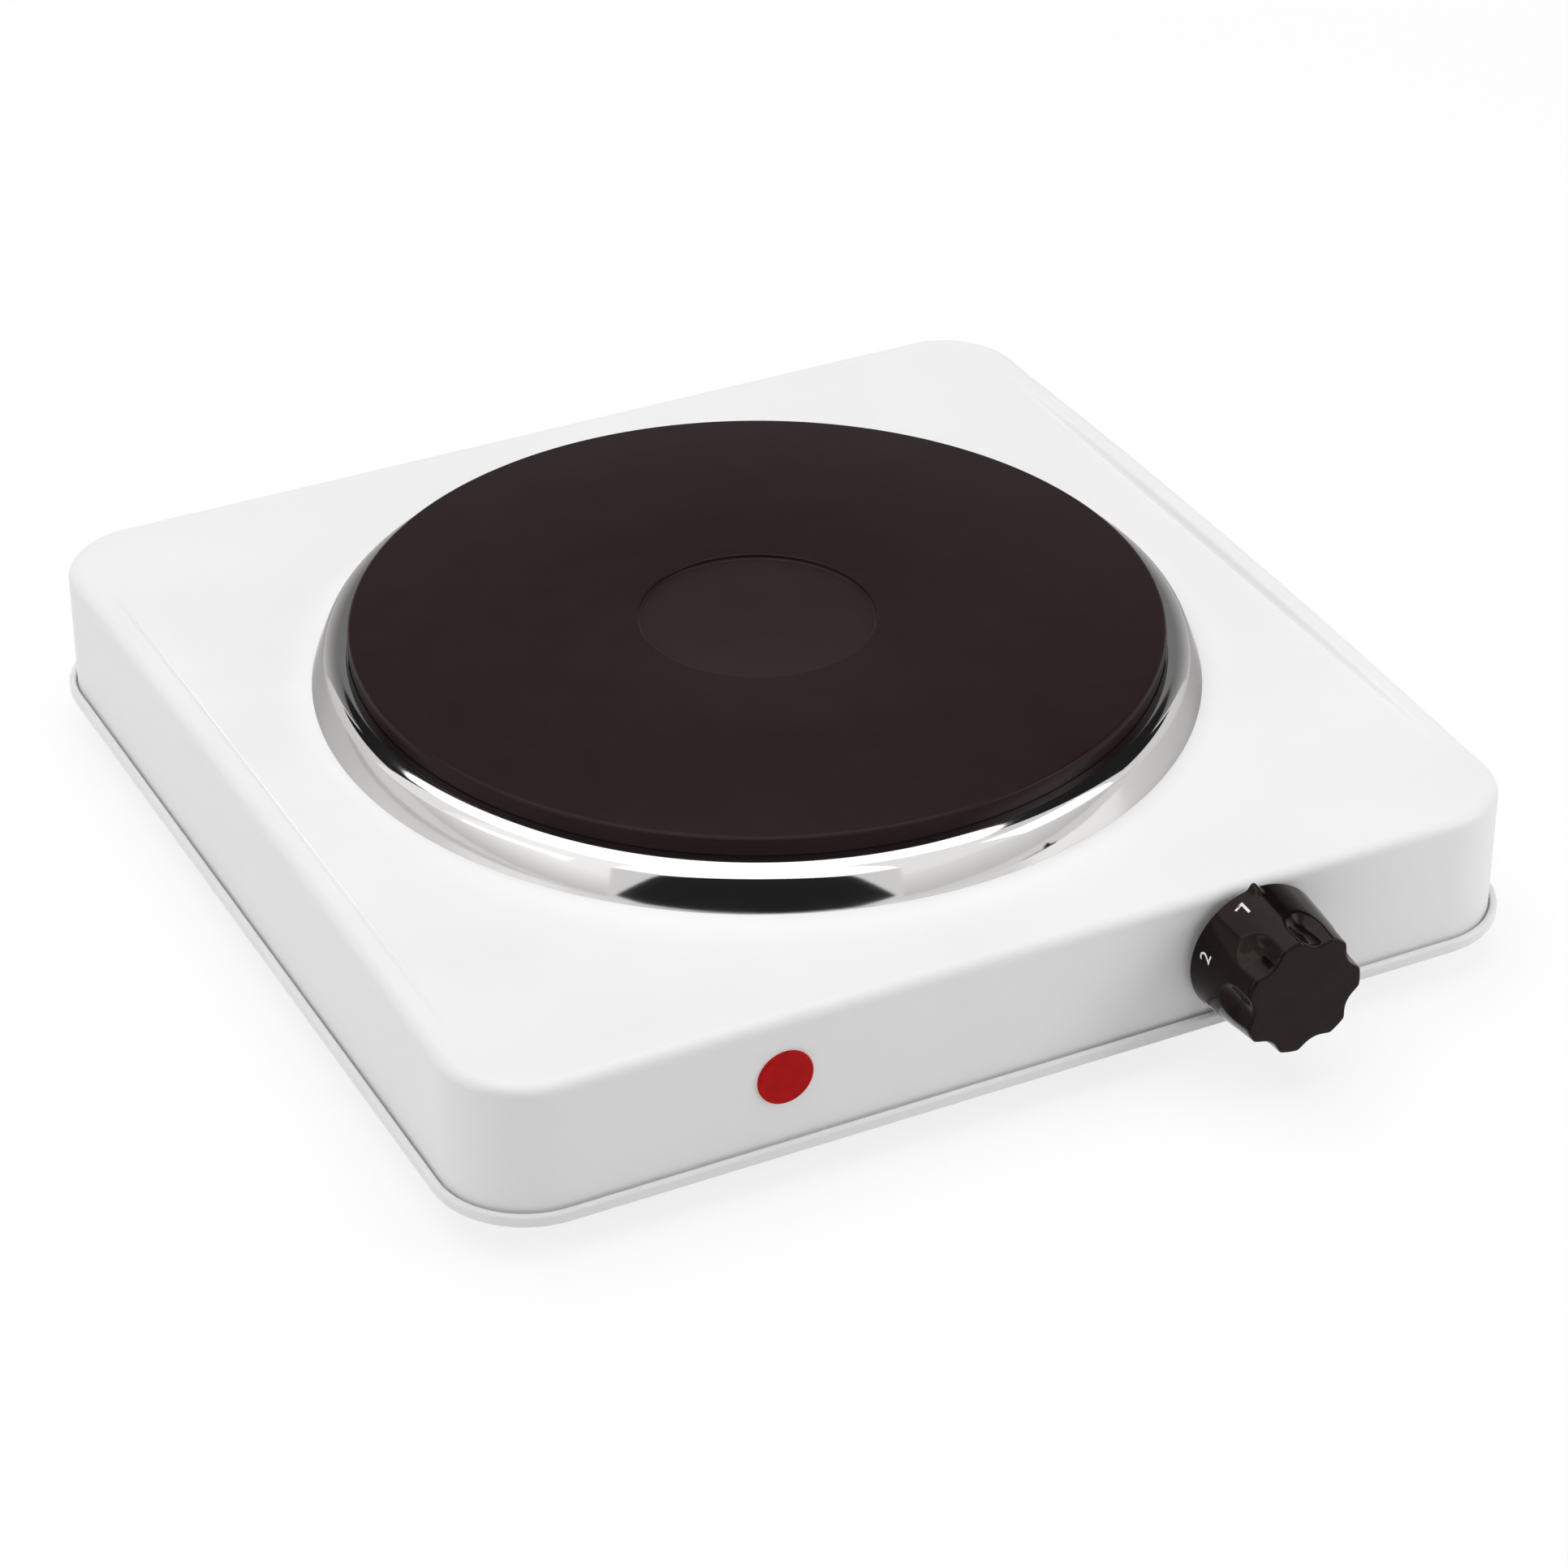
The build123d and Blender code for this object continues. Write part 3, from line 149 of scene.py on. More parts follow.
def housing_rings(inset):
    """The rings of the sheet's outer or inner face, from the panel's hole to the foot of the walls."""
    half = (housing_high - housing_low) / 2
    columns = []
    for point, outward in rounded_outline(half.x, half.y, corner_radius, side_points, corner_points):
        along = point.y / bead_half_length
        rise = bead_rise * max(0, 1 - along**2) if abs(outward.x) > 0.999 else 0
        column = []
        for distance, level in edge_section(rise, inset):
            flat = point - outward * distance
            column.append(Vector((flat.x, flat.y + housing_middle.y, level)))
        edge = Vector((column[0].x, column[0].y, panel_level - inset))
        middle = Vector((plate_axis.x, plate_axis.y, panel_level - inset))
        hole = middle + (edge - middle).normalized() * panel_hole_radius
        columns.append([hole.lerp(edge, k / panel_steps) for k in range(panel_steps)] + column)
    return [list(ring) for ring in zip(*columns)]


def drill(piece, centre, radius):
    """Makes a round hole along Y through a wall of a piece."""
    depth = 3 * shell_sheet
    steps = 48
    ends = []
    for y, size in ((-depth, 0), (-depth, radius), (depth, radius), (depth, 0)):
        turn = [2 * math.pi * k / steps for k in range(steps)]
        ends.append([centre + Vector((size * math.cos(a), y, size * math.sin(a))) for a in turn])
    cutter = ring_mesh("drill", ends)
    cut = piece.modifiers.new("hole", "BOOLEAN")
    cut.object = cutter
    scene_state = bpy.context.evaluated_depsgraph_get()
    holed = bpy.data.meshes.new_from_object(piece.evaluated_get(scene_state))
    piece.modifiers.clear()
    piece.data = holed
    bpy.data.objects.remove(cutter)


def new_finish(name):
    """A node material, with its tree and its shader at hand."""
    finish = bpy.data.materials.new(name)
    finish.use_nodes = True
    return finish, finish.node_tree, finish.node_tree.nodes["Principled BSDF"]


def grain(tree, size, detail=2.0, stretch=(1, 1, 1)):
    """Noise in the piece's own coordinates, with features of about the given size."""
    place = tree.nodes.new("ShaderNodeTexCoord")
    scale = tree.nodes.new("ShaderNodeMapping")
    scale.inputs["Scale"].default_value = stretch
    noise = tree.nodes.new("ShaderNodeTexNoise")
    noise.inputs["Scale"].default_value = 1 / size
    noise.inputs["Detail"].default_value = detail
    tree.links.new(place.outputs["Object"], scale.inputs["Vector"])
    tree.links.new(scale.outputs["Vector"], noise.inputs["Vector"])
    return noise.outputs["Fac"]


pattern_low = 0.3
pattern_high = 0.7


def tone(tree, pattern, dark, light, socket):
    """Colours a socket between two colours by a pattern."""
    ramp = tree.nodes.new("ShaderNodeValToRGB")
    ramp.color_ramp.elements[0].position = pattern_low
    ramp.color_ramp.elements[1].position = pattern_high
    ramp.color_ramp.elements[0].color = (*dark, 1)
    ramp.color_ramp.elements[1].color = (*light, 1)
    tree.links.new(pattern, ramp.inputs["Fac"])
    tree.links.new(ramp.outputs["Color"], socket)


def spread(tree, pattern, low, high, socket):
    """Lets a pattern move a value between two limits."""
    limits = tree.nodes.new("ShaderNodeMapRange")
    limits.inputs["From Min"].default_value = pattern_low
    limits.inputs["From Max"].default_value = pattern_high
    limits.inputs["To Min"].default_value = low
    limits.inputs["To Max"].default_value = high
    tree.links.new(pattern, limits.inputs["Value"])
    tree.links.new(limits.outputs["Result"], socket)


def relief(tree, pattern, depth, strength, shader):
    """Raises a surface by a pattern."""
    bump = tree.nodes.new("ShaderNodeBump")
    bump.inputs["Strength"].default_value = strength
    bump.inputs["Distance"].default_value = depth
    tree.links.new(pattern, bump.inputs["Height"])
    tree.links.new(bump.outputs["Normal"], shader.inputs["Normal"])


def white_enamel():
    """Baked white enamel: a faint orange peel, and a gloss that varies a little over the sheet."""
    finish, tree, shader = new_finish("white_enamel")
    cloud = grain(tree, 40 * MM, 3)
    tone(tree, cloud, (0.835, 0.832, 0.832), (0.855, 0.853, 0.855), shader.inputs["Base Color"])
    spread(tree, cloud, 0.34, 0.42, shader.inputs["Roughness"])
    shader.inputs["Specular IOR Level"].default_value = 0.3
    relief(tree, grain(tree, 1.1 * MM), 0.02 * MM, 0.12, shader)
    return finish


enamel = white_enamel()
housing = ring_mesh("housing_shell", housing_rings(0) + housing_rings(shell_sheet)[::-1], wrap=True)
knob_axis = Vector(frame["joints"][0]["pos_m"])
lens_low, lens_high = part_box("lamp_lens")
gland_low, gland_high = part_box("cord_gland")
lamp_axis = (lens_low + lens_high) / 2
gland_axis = (gland_low + gland_high) / 2
drill(housing, Vector((knob_axis.x, housing_low.y, knob_axis.z)), bushing_hole_radius)
drill(housing, Vector((lamp_axis.x, housing_low.y, lamp_axis.z)), lamp_hole_radius)
drill(housing, Vector((gland_axis.x, housing_high.y, gland_axis.z)), gland_hole_radius)
smooth(housing)
housing.data.materials.clear()
housing.data.materials.append(enamel)
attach(housing, "body")
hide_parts("top_housing")


# Base pan and tabs: a flat steel sheet with vent slots, whose folded rim shows as a lip round the shell.
# The pan has the white enamel of the shell.
# The tabs are bare plated steel, spot-welded to the side walls.
def coat(finish, *names):
    """Gives a finish to pieces that keep their construction shape."""
    for name in names:
        for slot in frame["nodes"][name].material_slots:
            slot.material = finish


def zinc_plate():
    """Zinc-plated steel: a dull silver with a fine spangle."""
    finish, tree, shader = new_finish("zinc_plate")
    spangle = grain(tree, 1.5 * MM, 4)
    tone(tree, spangle, (0.50, 0.51, 0.52), (0.64, 0.65, 0.66), shader.inputs["Base Color"])
    shader.inputs["Metallic"].default_value = 1
    spread(tree, spangle, 0.28, 0.45, shader.inputs["Roughness"])
    relief(tree, grain(tree, 0.4 * MM), 0.01 * MM, 0.2, shader)
    return finish


zinc = zinc_plate()
coat(enamel, "base_pan")
coat(zinc, "base_tabs")


# Feet: four moulded rubber cones with a grooved side, each held by a pan-head screw from below.
# The screws are zinc-plated, with a cross recess, and sit deep in the feet.
def turned(name, profile, origin, axis, steps=96):
    """A piece turned about an axis, from a profile of radius and height, axis to axis or closed."""
    across = axis.orthogonal().normalized()
    third = axis.cross(across)
    turns = [2 * math.pi * k / steps for k in range(steps)]
    rings = []
    for radius, height in profile:
        middle = origin + axis * height
        rings.append([middle + (across * math.cos(a) + third * math.sin(a)) * radius for a in turns])
    return ring_mesh(name, rings, wrap=profile[0][0] > 0)


def arc(centre, radius, start, end, steps=8):
    """Points of a profile along an arc, given by its angles in degrees."""
    points = []
    for k in range(steps + 1):
        angle = math.radians(start + (end - start) * k / steps)
        points.append((centre[0] + radius * math.cos(angle), centre[1] + radius * math.sin(angle)))
    return points


def rubber():
    """Black moulded rubber, a little dusty."""
    finish, tree, shader = new_finish("foot_rubber")
    dust = grain(tree, 2 * MM, 4)
    tone(tree, dust, (0.018, 0.018, 0.018), (0.035, 0.034, 0.033), shader.inputs["Base Color"])
    spread(tree, dust, 0.62, 0.8, shader.inputs["Roughness"])
    relief(tree, grain(tree, 0.3 * MM), 0.03 * MM, 0.4, shader)
    return finish


foot_rubber = rubber()
foot_edge = 0.8 * MM
foot_groove = 0.5 * MM
foot_taper = 1.5 * MM
foot_recess = 4.8 * MM
foot_recess_depth = 3.5 * MM
foot_recess_edge = 0.4 * MM
foot_bore = 2.2 * MM
foot_steps = 12
foot_groove_every = 3
for corner in ("front_left", "front_right", "rear_left", "rear_right"):
    low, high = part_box("foot_" + corner)
    wide = (high.x - low.x) / 2
    tread = wide - foot_taper
    height = high.z - low.z
    profile = [(foot_recess, foot_recess_depth), (foot_recess, foot_recess_edge)]
    profile.append((foot_recess + foot_recess_edge, 0))
    profile += arc((tread - foot_edge, foot_edge), foot_edge, -90, 0)
    for k in range(1, foot_steps):
        share = k / foot_steps
        groove = foot_groove if k % foot_groove_every == 0 else 0
        level = foot_edge + (height - foot_edge) * share
        profile.append((tread + (wide - tread) * share - groove, level))
    profile += [(wide, height), (foot_bore, height), (foot_bore, foot_recess_depth)]
    origin = Vector(((low.x + high.x) / 2, (low.y + high.y) / 2, low.z))
    piece = turned("rubber_foot_" + corner, profile, origin, Vector((0, 0, 1)))
    piece.data.materials.append(foot_rubber)
    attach(piece, "body")
    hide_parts("foot_" + corner)
coat(zinc, "foot_screws")


# Cast-iron plate: a heavy disc, turned flat on top with a shallow round dish in the middle.
# It has a brown-black heat-proof coating over fine turned lines.
# Its rim overlaps the spill ring, and a narrower neck goes down through it.
plate_radius = (plate_high.x - plate_low.x) / 2
plate_rim_overlap = 2 * MM
plate_rim_depth = 6 * MM
plate_neck = plate_radius - plate_rim_overlap
plate_edge = 1.0 * MM
dish_radius = 27 * MM
dish_depth = 1.2 * MM
dish_edge = 0.35 * MM
channel_wall = 6.5 * MM
channel_outer = plate_neck - channel_wall
channel_inner = 34 * MM
channel_depth = 8 * MM
stud_bore = 3.03 * MM
plate_shoulder = plate_high.z - plate_rim_depth
plate_centre = Vector((plate_axis.x, plate_axis.y, 0))
upwards = Vector((0, 0, 1))
fine_turn_steps = 288
wave_rings = 0.314


def turned_lines(tree, pitch):
    """Fine rings about the plate's axis, as a turning tool leaves them."""
    place = tree.nodes.new("ShaderNodeTexCoord")
    centre = tree.nodes.new("ShaderNodeMapping")
    centre.inputs["Location"].default_value = (-plate_axis.x, -plate_axis.y, 0)
    rings = tree.nodes.new("ShaderNodeTexWave")
    rings.wave_type = "RINGS"
    rings.rings_direction = "Z"
    rings.inputs["Scale"].default_value = wave_rings / pitch
    rings.inputs["Distortion"].default_value = 0.6
    rings.inputs["Detail"].default_value = 2
    tree.links.new(place.outputs["Object"], centre.inputs["Vector"])
    tree.links.new(centre.outputs["Vector"], rings.inputs["Vector"])
    return rings.outputs["Fac"]


def iron_coating(name, dark, light):
    """Heat-proof satin coating on cast iron: cloudy brown-black, with turned lines and a fine grain."""
    finish, tree, shader = new_finish(name)
    tone(tree, grain(tree, 14 * MM, 5), dark, light, shader.inputs["Base Color"])
    spread(tree, grain(tree, 9 * MM, 3), 0.27, 0.31, shader.inputs["Roughness"])
    shader.inputs["Specular IOR Level"].default_value = 0.07
    relief(tree, turned_lines(tree, 0.8 * MM), 0.004 * MM, 0.03, shader)
    return finish


plate_profile = [(0, plate_high.z - dish_depth)]
dish_round = dish_depth / 2
plate_profile += arc((dish_radius - dish_round, plate_high.z - dish_round), dish_round, -90, 0)
plate_profile += arc((dish_radius + dish_edge, plate_high.z - dish_edge), dish_edge, 180, 90)
plate_profile += arc((plate_radius - plate_edge, plate_high.z - plate_edge), plate_edge, 90, 0)
plate_profile += [
    (plate_radius, plate_shoulder + plate_edge / 3),
    (plate_radius - plate_edge / 3, plate_shoulder),
    (plate_neck, plate_shoulder),
    (plate_neck, plate_low.z),
    (channel_outer, plate_low.z),
    (channel_outer, plate_low.z + channel_depth),
    (channel_inner, plate_low.z + channel_depth),
    (channel_inner, plate_low.z),
    (stud_bore, plate_low.z),
    (stud_bore, plate_low.z + channel_depth),
    (0, plate_low.z + channel_depth),
]
plate = turned("plate_disc", plate_profile, plate_centre, upwards, fine_turn_steps)
plate_coating = iron_coating("plate_coating", (0.0165, 0.0078, 0.0081), (0.0195, 0.0094, 0.0097))
# Painted light: the dish gets a lighter copy of the same coating, so that it reads brighter than the
# rest of the top.
dish_painted_lighter = iron_coating("dish_painted_lighter", (0.0230, 0.0125, 0.0125), (0.0260, 0.0145, 0.0145))
plate.data.materials.append(plate_coating)
plate.data.materials.append(dish_painted_lighter)
# The faces in the dish take that lighter copy, which is painted light rather than a second coating.
for face in plate.data.polygons:
    outside = Vector((face.center.x - plate_axis.x, face.center.y - plate_axis.y)).length
    if outside < dish_radius and face.center.z > plate_high.z - 2 * dish_depth:
        face.material_index = 1
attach(plate, "body")
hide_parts("cast_iron_plate")


# Spill ring: thin steel sheet, spun to a level land, a round shoulder and a steep skirt, bright-plated.
# Its flat inner edge is clamped under the rim of the plate, and the skirt stands on the panel.
ring_sheet = 0.6 * MM
ring_seat = 0.2 * MM
ring_rise = 1.85 * MM
ring_land = 2.15 * MM
ring_lip_drop = 0.17 * MM
ring_shoulder_radius = 4.2 * MM
ring_skirt_radius = 60 * MM


def bright_plating():
    """Polished plating: a clean mirror with very faint spinning marks."""
    finish, tree, shader = new_finish("bright_plating")
    haze = grain(tree, 25 * MM, 4)
    tone(tree, haze, (0.585, 0.577, 0.572), (0.615, 0.607, 0.602), shader.inputs["Base Color"])
    shader.inputs["Specular Tint"].default_value = (0.56, 0.55, 0.55, 1)
    shader.inputs["Metallic"].default_value = 1
    spread(tree, haze, 0.05, 0.08, shader.inputs["Roughness"])
    relief(tree, turned_lines(tree, 0.5 * MM), 0.001 * MM, 0.02, shader)
    return finish


def ring_profile():
    """The ring's section: flat edge, lip, land, shoulder and skirt, and back along the underside."""
    bore = plate_neck + ring_seat
    lip = plate_radius + ring_seat
    land = plate_shoulder + ring_rise
    centre = Vector((plate_radius + ring_land, land - ring_shoulder_radius))
    toe = Vector(((ring_high.x - ring_low.x) / 2, panel_level))
    reach = toe - centre
    lever = ring_skirt_radius - ring_shoulder_radius
    share = (ring_skirt_radius**2 - lever**2 - reach.length_squared) / (2 * lever * reach.length)
    turn = math.atan2(reach.y, reach.x) + math.acos(share)
    skirt_centre = centre - lever * Vector((math.cos(turn), math.sin(turn)))
    drop = panel_level - skirt_centre.y
    inner_radius = ring_skirt_radius - ring_sheet
    foot = math.degrees(math.asin(drop / ring_skirt_radius))
    inner_foot = math.degrees(math.asin(drop / inner_radius))
    turn = math.degrees(turn)
    profile = [(bore, plate_shoulder), (lip, plate_shoulder), (lip, land - ring_lip_drop)]
    profile += arc(centre, ring_shoulder_radius, 90, turn, 40)
    profile += arc(skirt_centre, ring_skirt_radius, turn, foot, 12)[1:]
    profile += arc(skirt_centre, inner_radius, inner_foot, turn, 12)
    profile += arc(centre, ring_shoulder_radius - ring_sheet, turn, 90, 24)[1:]
    hem = plate_shoulder - ring_sheet
    inside = lip + ring_sheet
    profile += [(inside, land - ring_lip_drop - ring_sheet), (inside, hem), (bore, hem)]
    return profile


spill_ring = turned("bright_ring", ring_profile(), plate_centre, upwards, fine_turn_steps)
spill_ring.data.materials.append(bright_plating())
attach(spill_ring, "body")
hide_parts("spill_ring")


# Heating insert: a flat spiral of resistance tube, pressed into white filling in the plate's channel.
# Two pins with ceramic bushes bring the current through the sheet disc that closes the channel.
def powder(name, dark, light, grain_size, rough):
    """A dry mineral finish, such as fired ceramic or pressed filling."""
    finish, tree, shader = new_finish(name)
    speck = grain(tree, grain_size, 5)
    tone(tree, speck, dark, light, shader.inputs["Base Color"])
    spread(tree, speck, rough, rough + 0.15, shader.inputs["Roughness"])
    relief(tree, grain(tree, grain_size / 4), grain_size / 20, 0.4, shader)
    return finish


def drawn_metal(name, dark, light, rough):
    """A bare drawn metal, with a slight oxide cloud and fine drawing marks."""
    finish, tree, shader = new_finish(name)
    cloud = grain(tree, 3 * MM, 4)
    tone(tree, cloud, dark, light, shader.inputs["Base Color"])
    shader.inputs["Metallic"].default_value = 1
    spread(tree, cloud, rough, rough + 0.15, shader.inputs["Roughness"])
    relief(tree, grain(tree, 0.3 * MM, 2, (1, 6, 6)), 0.01 * MM, 0.2, shader)
    return finish


steatite = powder("steatite", (0.68, 0.66, 0.60), (0.78, 0.76, 0.71), 2 * MM, 0.45)
coat(powder("magnesia", (0.62, 0.61, 0.58), (0.75, 0.74, 0.72), 1 * MM, 0.8), "insulation_filler")
coil_alloy = drawn_metal("coil_alloy", (0.22, 0.19, 0.17), (0.34, 0.31, 0.29), 0.45)
coat(coil_alloy, "heating_coil", "coil_pins")
coat(steatite, "pin_bushes", "ceramic_spacers")
coat(zinc, "plate_cover_disc")


# Plate clamp: a stud in the plate, pulled down by a nut and washer against a cross bar of bent strip.
# All four are zinc-plated steel. The bar's ends bear up on the panel beside its hole.
coat(zinc, "centre_stud", "plate_bracket", "stud_washer", "stud_nut")


# Control knob: moulded black plastic, a round body that narrows to a satin face, with finger scoops.
# A nib on its back edge points at the setting, and the numerals are printed round the body.
# It is pushed on the spindle, and a spring clip holds it.
knob_low, knob_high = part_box("knob")
knob_back_radius = 15.9 * MM
knob_face_radius = 14.2 * MM
knob_edge = 0.8 * MM
knob_length = knob_high.y - knob_low.y
scoop_count = 7
scoop_radius = 6 * MM
scoop_depth = 1.8 * MM
scoop_length = 10.5 * MM
scoop_turn = 28
scoop_blend = 1.2 * MM
nib_turn = 95
nib_half_width = 6.5
nib_rise = 1.4 * MM
nib_length = 3.2 * MM
knob_cavity = 10.5 * MM
knob_cavity_depth = 6 * MM
knob_bore = 3.03 * MM
knob_bore_flat = 2.5 * MM
knob_face_wall = 4 * MM
knob_bore_end = knob_length - knob_face_wall
knob_points = 336
knob_back_stations = (0, 0.05 * MM, 0.15 * MM, 0.35 * MM, 0.7 * MM)
knob_station_start = 1 * MM
knob_station_step = 0.5 * MM
knob_edge_steps = 6
knob_face_shares = (0.9, 0.6, 0.3, 0)
knob_face_skin = 0.02 * MM


def body_radius(out):
    """The knob's radius without scoops, at a distance out from its back."""
    share = out / knob_length
    return knob_back_radius + (knob_face_radius - knob_back_radius) * share


def soft_max(first, second, blend):
    """The higher of two values, with the corner between them rounded over the blend."""
    share = min(max(0.5 + 0.5 * (first - second) / blend, 0), 1)
    return second + (first - second) * share + blend * share * (1 - share)


def scoop_floor(turn, out):
    """The radius at which the nearest scoop's floor lies, or nothing where no scoop reaches."""
    step = 360 / scoop_count
    off = (turn - scoop_turn + step / 2) % step - step / 2
    reach = knob_face_radius - scoop_depth + scoop_radius
    past = max(knob_length - scoop_length + scoop_radius - out, 0)
    off = math.radians(off)
    room = scoop_radius**2 - past**2 - (reach * math.sin(off)) ** 2
    return reach * math.cos(off) - math.sqrt(room) if room > 0 else None


def nib_height(turn, out):
    """How far the nib stands out of the body."""
    off = min(abs(turn - nib_turn) / nib_half_width, 1)
    along = min(out / nib_length, 1)
    return nib_rise * (0.5 + 0.5 * math.cos(math.pi * off)) * (1 - along**3)


def knob_radius(turn, out):
    """The knob's radius with scoops and nib."""
    radius = body_radius(out)
    floor = scoop_floor(turn, out)
    if floor is not None:
        radius = -soft_max(-radius, -floor, scoop_blend)
    return radius + nib_height(turn, out)


def knob_point(turn, radius, out):
    """A point of the knob, by its turn seen from the front, its radius and how far out it lies."""
    angle = math.radians(turn)
    across = Vector((radius * math.cos(angle), 0, radius * math.sin(angle)))
    return Vector((knob_axis.x, knob_high.y - out, knob_axis.z)) + across


def bore_radius(turn):
    """The D-shaped bore, with its flat on top."""
    height = math.sin(math.radians(turn))
    return min(knob_bore, knob_bore_flat / height) if height > 0 else knob_bore


def knob_rings():
    """The knob from its bore, round the back, along the body, over the edge and across the face."""
    turns = [k * 360 / knob_points for k in range(knob_points)]
    rings = [[knob_point(t, 0, knob_bore_end) for t in turns]]
    for out in (knob_bore_end, knob_cavity_depth):
        rings.append([knob_point(t, bore_radius(t), out) for t in turns])
    for radius, out in ((knob_cavity, knob_cavity_depth), (knob_cavity, 0)):
        rings.append([knob_point(t, radius, out) for t in turns])
    stations = list(knob_back_stations)
    count = math.ceil((knob_length - knob_edge - knob_station_start) / knob_station_step)
    stations += [knob_station_start + k * knob_station_step for k in range(count)]
    for out in stations:
        rings.append([knob_point(t, knob_radius(t, out), out) for t in turns])
    for inset, out in arc((0, knob_length - knob_edge), knob_edge, 0, 90, knob_edge_steps):
        drop = knob_edge - inset
        rings.append([knob_point(t, knob_radius(t, out) - drop, out) for t in turns])
    face = [knob_radius(t, knob_length) - knob_edge for t in turns]
    for share in knob_face_shares:
        rings.append([knob_point(t, rim * share, knob_length) for t, rim in zip(turns, face)])
    return rings


def knob_plastic(name, dark, light, rough, depth):
    """Black moulded plastic, brown-black in the light, with a faint moulding grain."""
    finish, tree, shader = new_finish(name)
    cloud = grain(tree, 6 * MM, 3)
    tone(tree, cloud, dark, light, shader.inputs["Base Color"])
    spread(tree, cloud, rough, rough + 0.05, shader.inputs["Roughness"])
    shader.inputs["Specular IOR Level"].default_value = 0.12
    shader.inputs["Specular Tint"].default_value = (1, 0.78, 0.70, 1)
    relief(tree, grain(tree, 0.35 * MM), depth, 0.25, shader)
    return finish


gloss_dark, gloss_light = (0.0055, 0.0035, 0.0030), (0.0080, 0.0052, 0.0046)
satin_dark, satin_light = (0.0105, 0.0066, 0.0058), (0.0140, 0.0092, 0.0082)
knob_gloss = knob_plastic("knob_gloss", gloss_dark, gloss_light, 0.10, 0.004 * MM)
knob_satin = knob_plastic("knob_satin", satin_dark, satin_light, 0.42, 0.02 * MM)
knob = ring_mesh("control_knob", knob_rings())
knob.data.materials.append(knob_gloss)
knob.data.materials.append(knob_satin)
for face in knob.data.polygons:
    if face.center.y < knob_low.y + knob_face_skin:
        face.material_index = 1
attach(knob, "control")
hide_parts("knob")

numeral_height = 3.3 * MM
numeral_out = 3.9 * MM
numeral_first = 59.6
numeral_step = 360 / 7
numeral_last = 5
numeral_proud = 0.03 * MM
numeral_depth = 0.01


def numeral_shape(text):
    """The outline of one numeral, centred, at the printed height."""
    words = bpy.data.curves.new("numeral", "FONT")
    words.body = text
    words.align_x = "CENTER"
    words.align_y = "CENTER"
    words.extrude = numeral_depth
    words.resolution_u = 8
    carrier = bpy.data.objects.new("numeral", words)
    bpy.context.scene.collection.objects.link(carrier)
    scene_state = bpy.context.evaluated_depsgraph_get()
    mesh = bpy.data.meshes.new_from_object(carrier.evaluated_get(scene_state))
    bpy.data.objects.remove(carrier)
    return mesh


def numeral_one():
    """The numeral one, with a long flag, as tall as it is printed."""
    stem = [(0.3, -1.65), (0.3, 1.65), (-0.4, 1.65)]
    flag = [(-2.1, 1.05), (-1.9, 0.55), (-0.3, 1.0), (-0.3, -1.65)]
    outline = stem + flag
    levels = (-numeral_depth, numeral_depth)
    shape = bmesh.new()
    back, front = [[shape.verts.new((x, y, level)) for x, y in outline] for level in levels]
    shape.faces.new(back[::-1])
    shape.faces.new(front)
    for i in range(len(outline)):
        j = (i + 1) % len(outline)
        shape.faces.new((back[i], back[j], front[j], front[i]))
    mesh = bpy.data.meshes.new("numeral")
    shape.to_mesh(mesh)
    shape.free()
    return mesh


def knob_numerals():
    """The numerals, wrapped on the knob's body with their feet towards the face."""
    shape = bmesh.new()
    for value in range(1, numeral_last + 1):
        mesh = numeral_one() if value == 1 else numeral_shape(str(value))
        top = max(v.co.y for v in mesh.vertices)
        bottom = min(v.co.y for v in mesh.vertices)
        middle = (top + bottom) / 2
        size = numeral_height / (top - bottom)
        for vertex in mesh.vertices:
            out = numeral_out - (vertex.co.y - middle) * size
            radius = body_radius(out) + numeral_proud * (1 if vertex.co.z > 0 else -1)
            turn = numeral_first + value * numeral_step - math.degrees(vertex.co.x * size / radius)
            vertex.co = knob_point(turn, radius, out)
        shape.from_mesh(mesh)
    merged = bpy.data.meshes.new("knob_numerals")
    shape.to_mesh(merged)
    shape.free()
    piece = bpy.data.objects.new("knob_numerals", merged)
    bpy.context.scene.collection.objects.link(piece)
    return piece


def print_ink():
    """White pad-printed ink, a little thin in places."""
    finish, tree, shader = new_finish("print_ink")
    thin = grain(tree, 0.5 * MM, 4)
    tone(tree, thin, (0.72, 0.71, 0.69), (0.88, 0.88, 0.87), shader.inputs["Base Color"])
    spread(tree, thin, 0.4, 0.55, shader.inputs["Roughness"])
    return finish


numerals = knob_numerals()
numerals.data.materials.append(print_ink())
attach(numerals, "control")


# Spindle and spring clip: a turned steel spindle with a flat, and a strip of spring steel on the flat.
# They turn with the knob, in the brass bushing of the thermostat.
coat(zinc, "thermostat_spindle", "knob_spring_clip")


# Thermostat: a steel frame behind the front wall, held by a threaded brass bushing and its nut.
# Ceramic rings on a rivet keep the spring leaves and the bimetal strip apart.
brass = drawn_metal("brass", (0.55, 0.38, 0.14), (0.66, 0.48, 0.20), 0.25)
spring_leaf = drawn_metal("spring_leaf", (0.52, 0.40, 0.24), (0.62, 0.49, 0.31), 0.25)
coat(brass, "thermostat_bushing", "bushing_nut")
coat(zinc, "thermostat_frame", "stack_rivet")
coat(spring_leaf, "regulating_leaf", "contact_leaf")
coat(drawn_metal("bimetal", (0.42, 0.38, 0.34), (0.52, 0.48, 0.44), 0.3), "bimetal_strip")
coat(drawn_metal("contact_silver", (0.72, 0.71, 0.68), (0.84, 0.83, 0.80), 0.2), "contact_rivets")


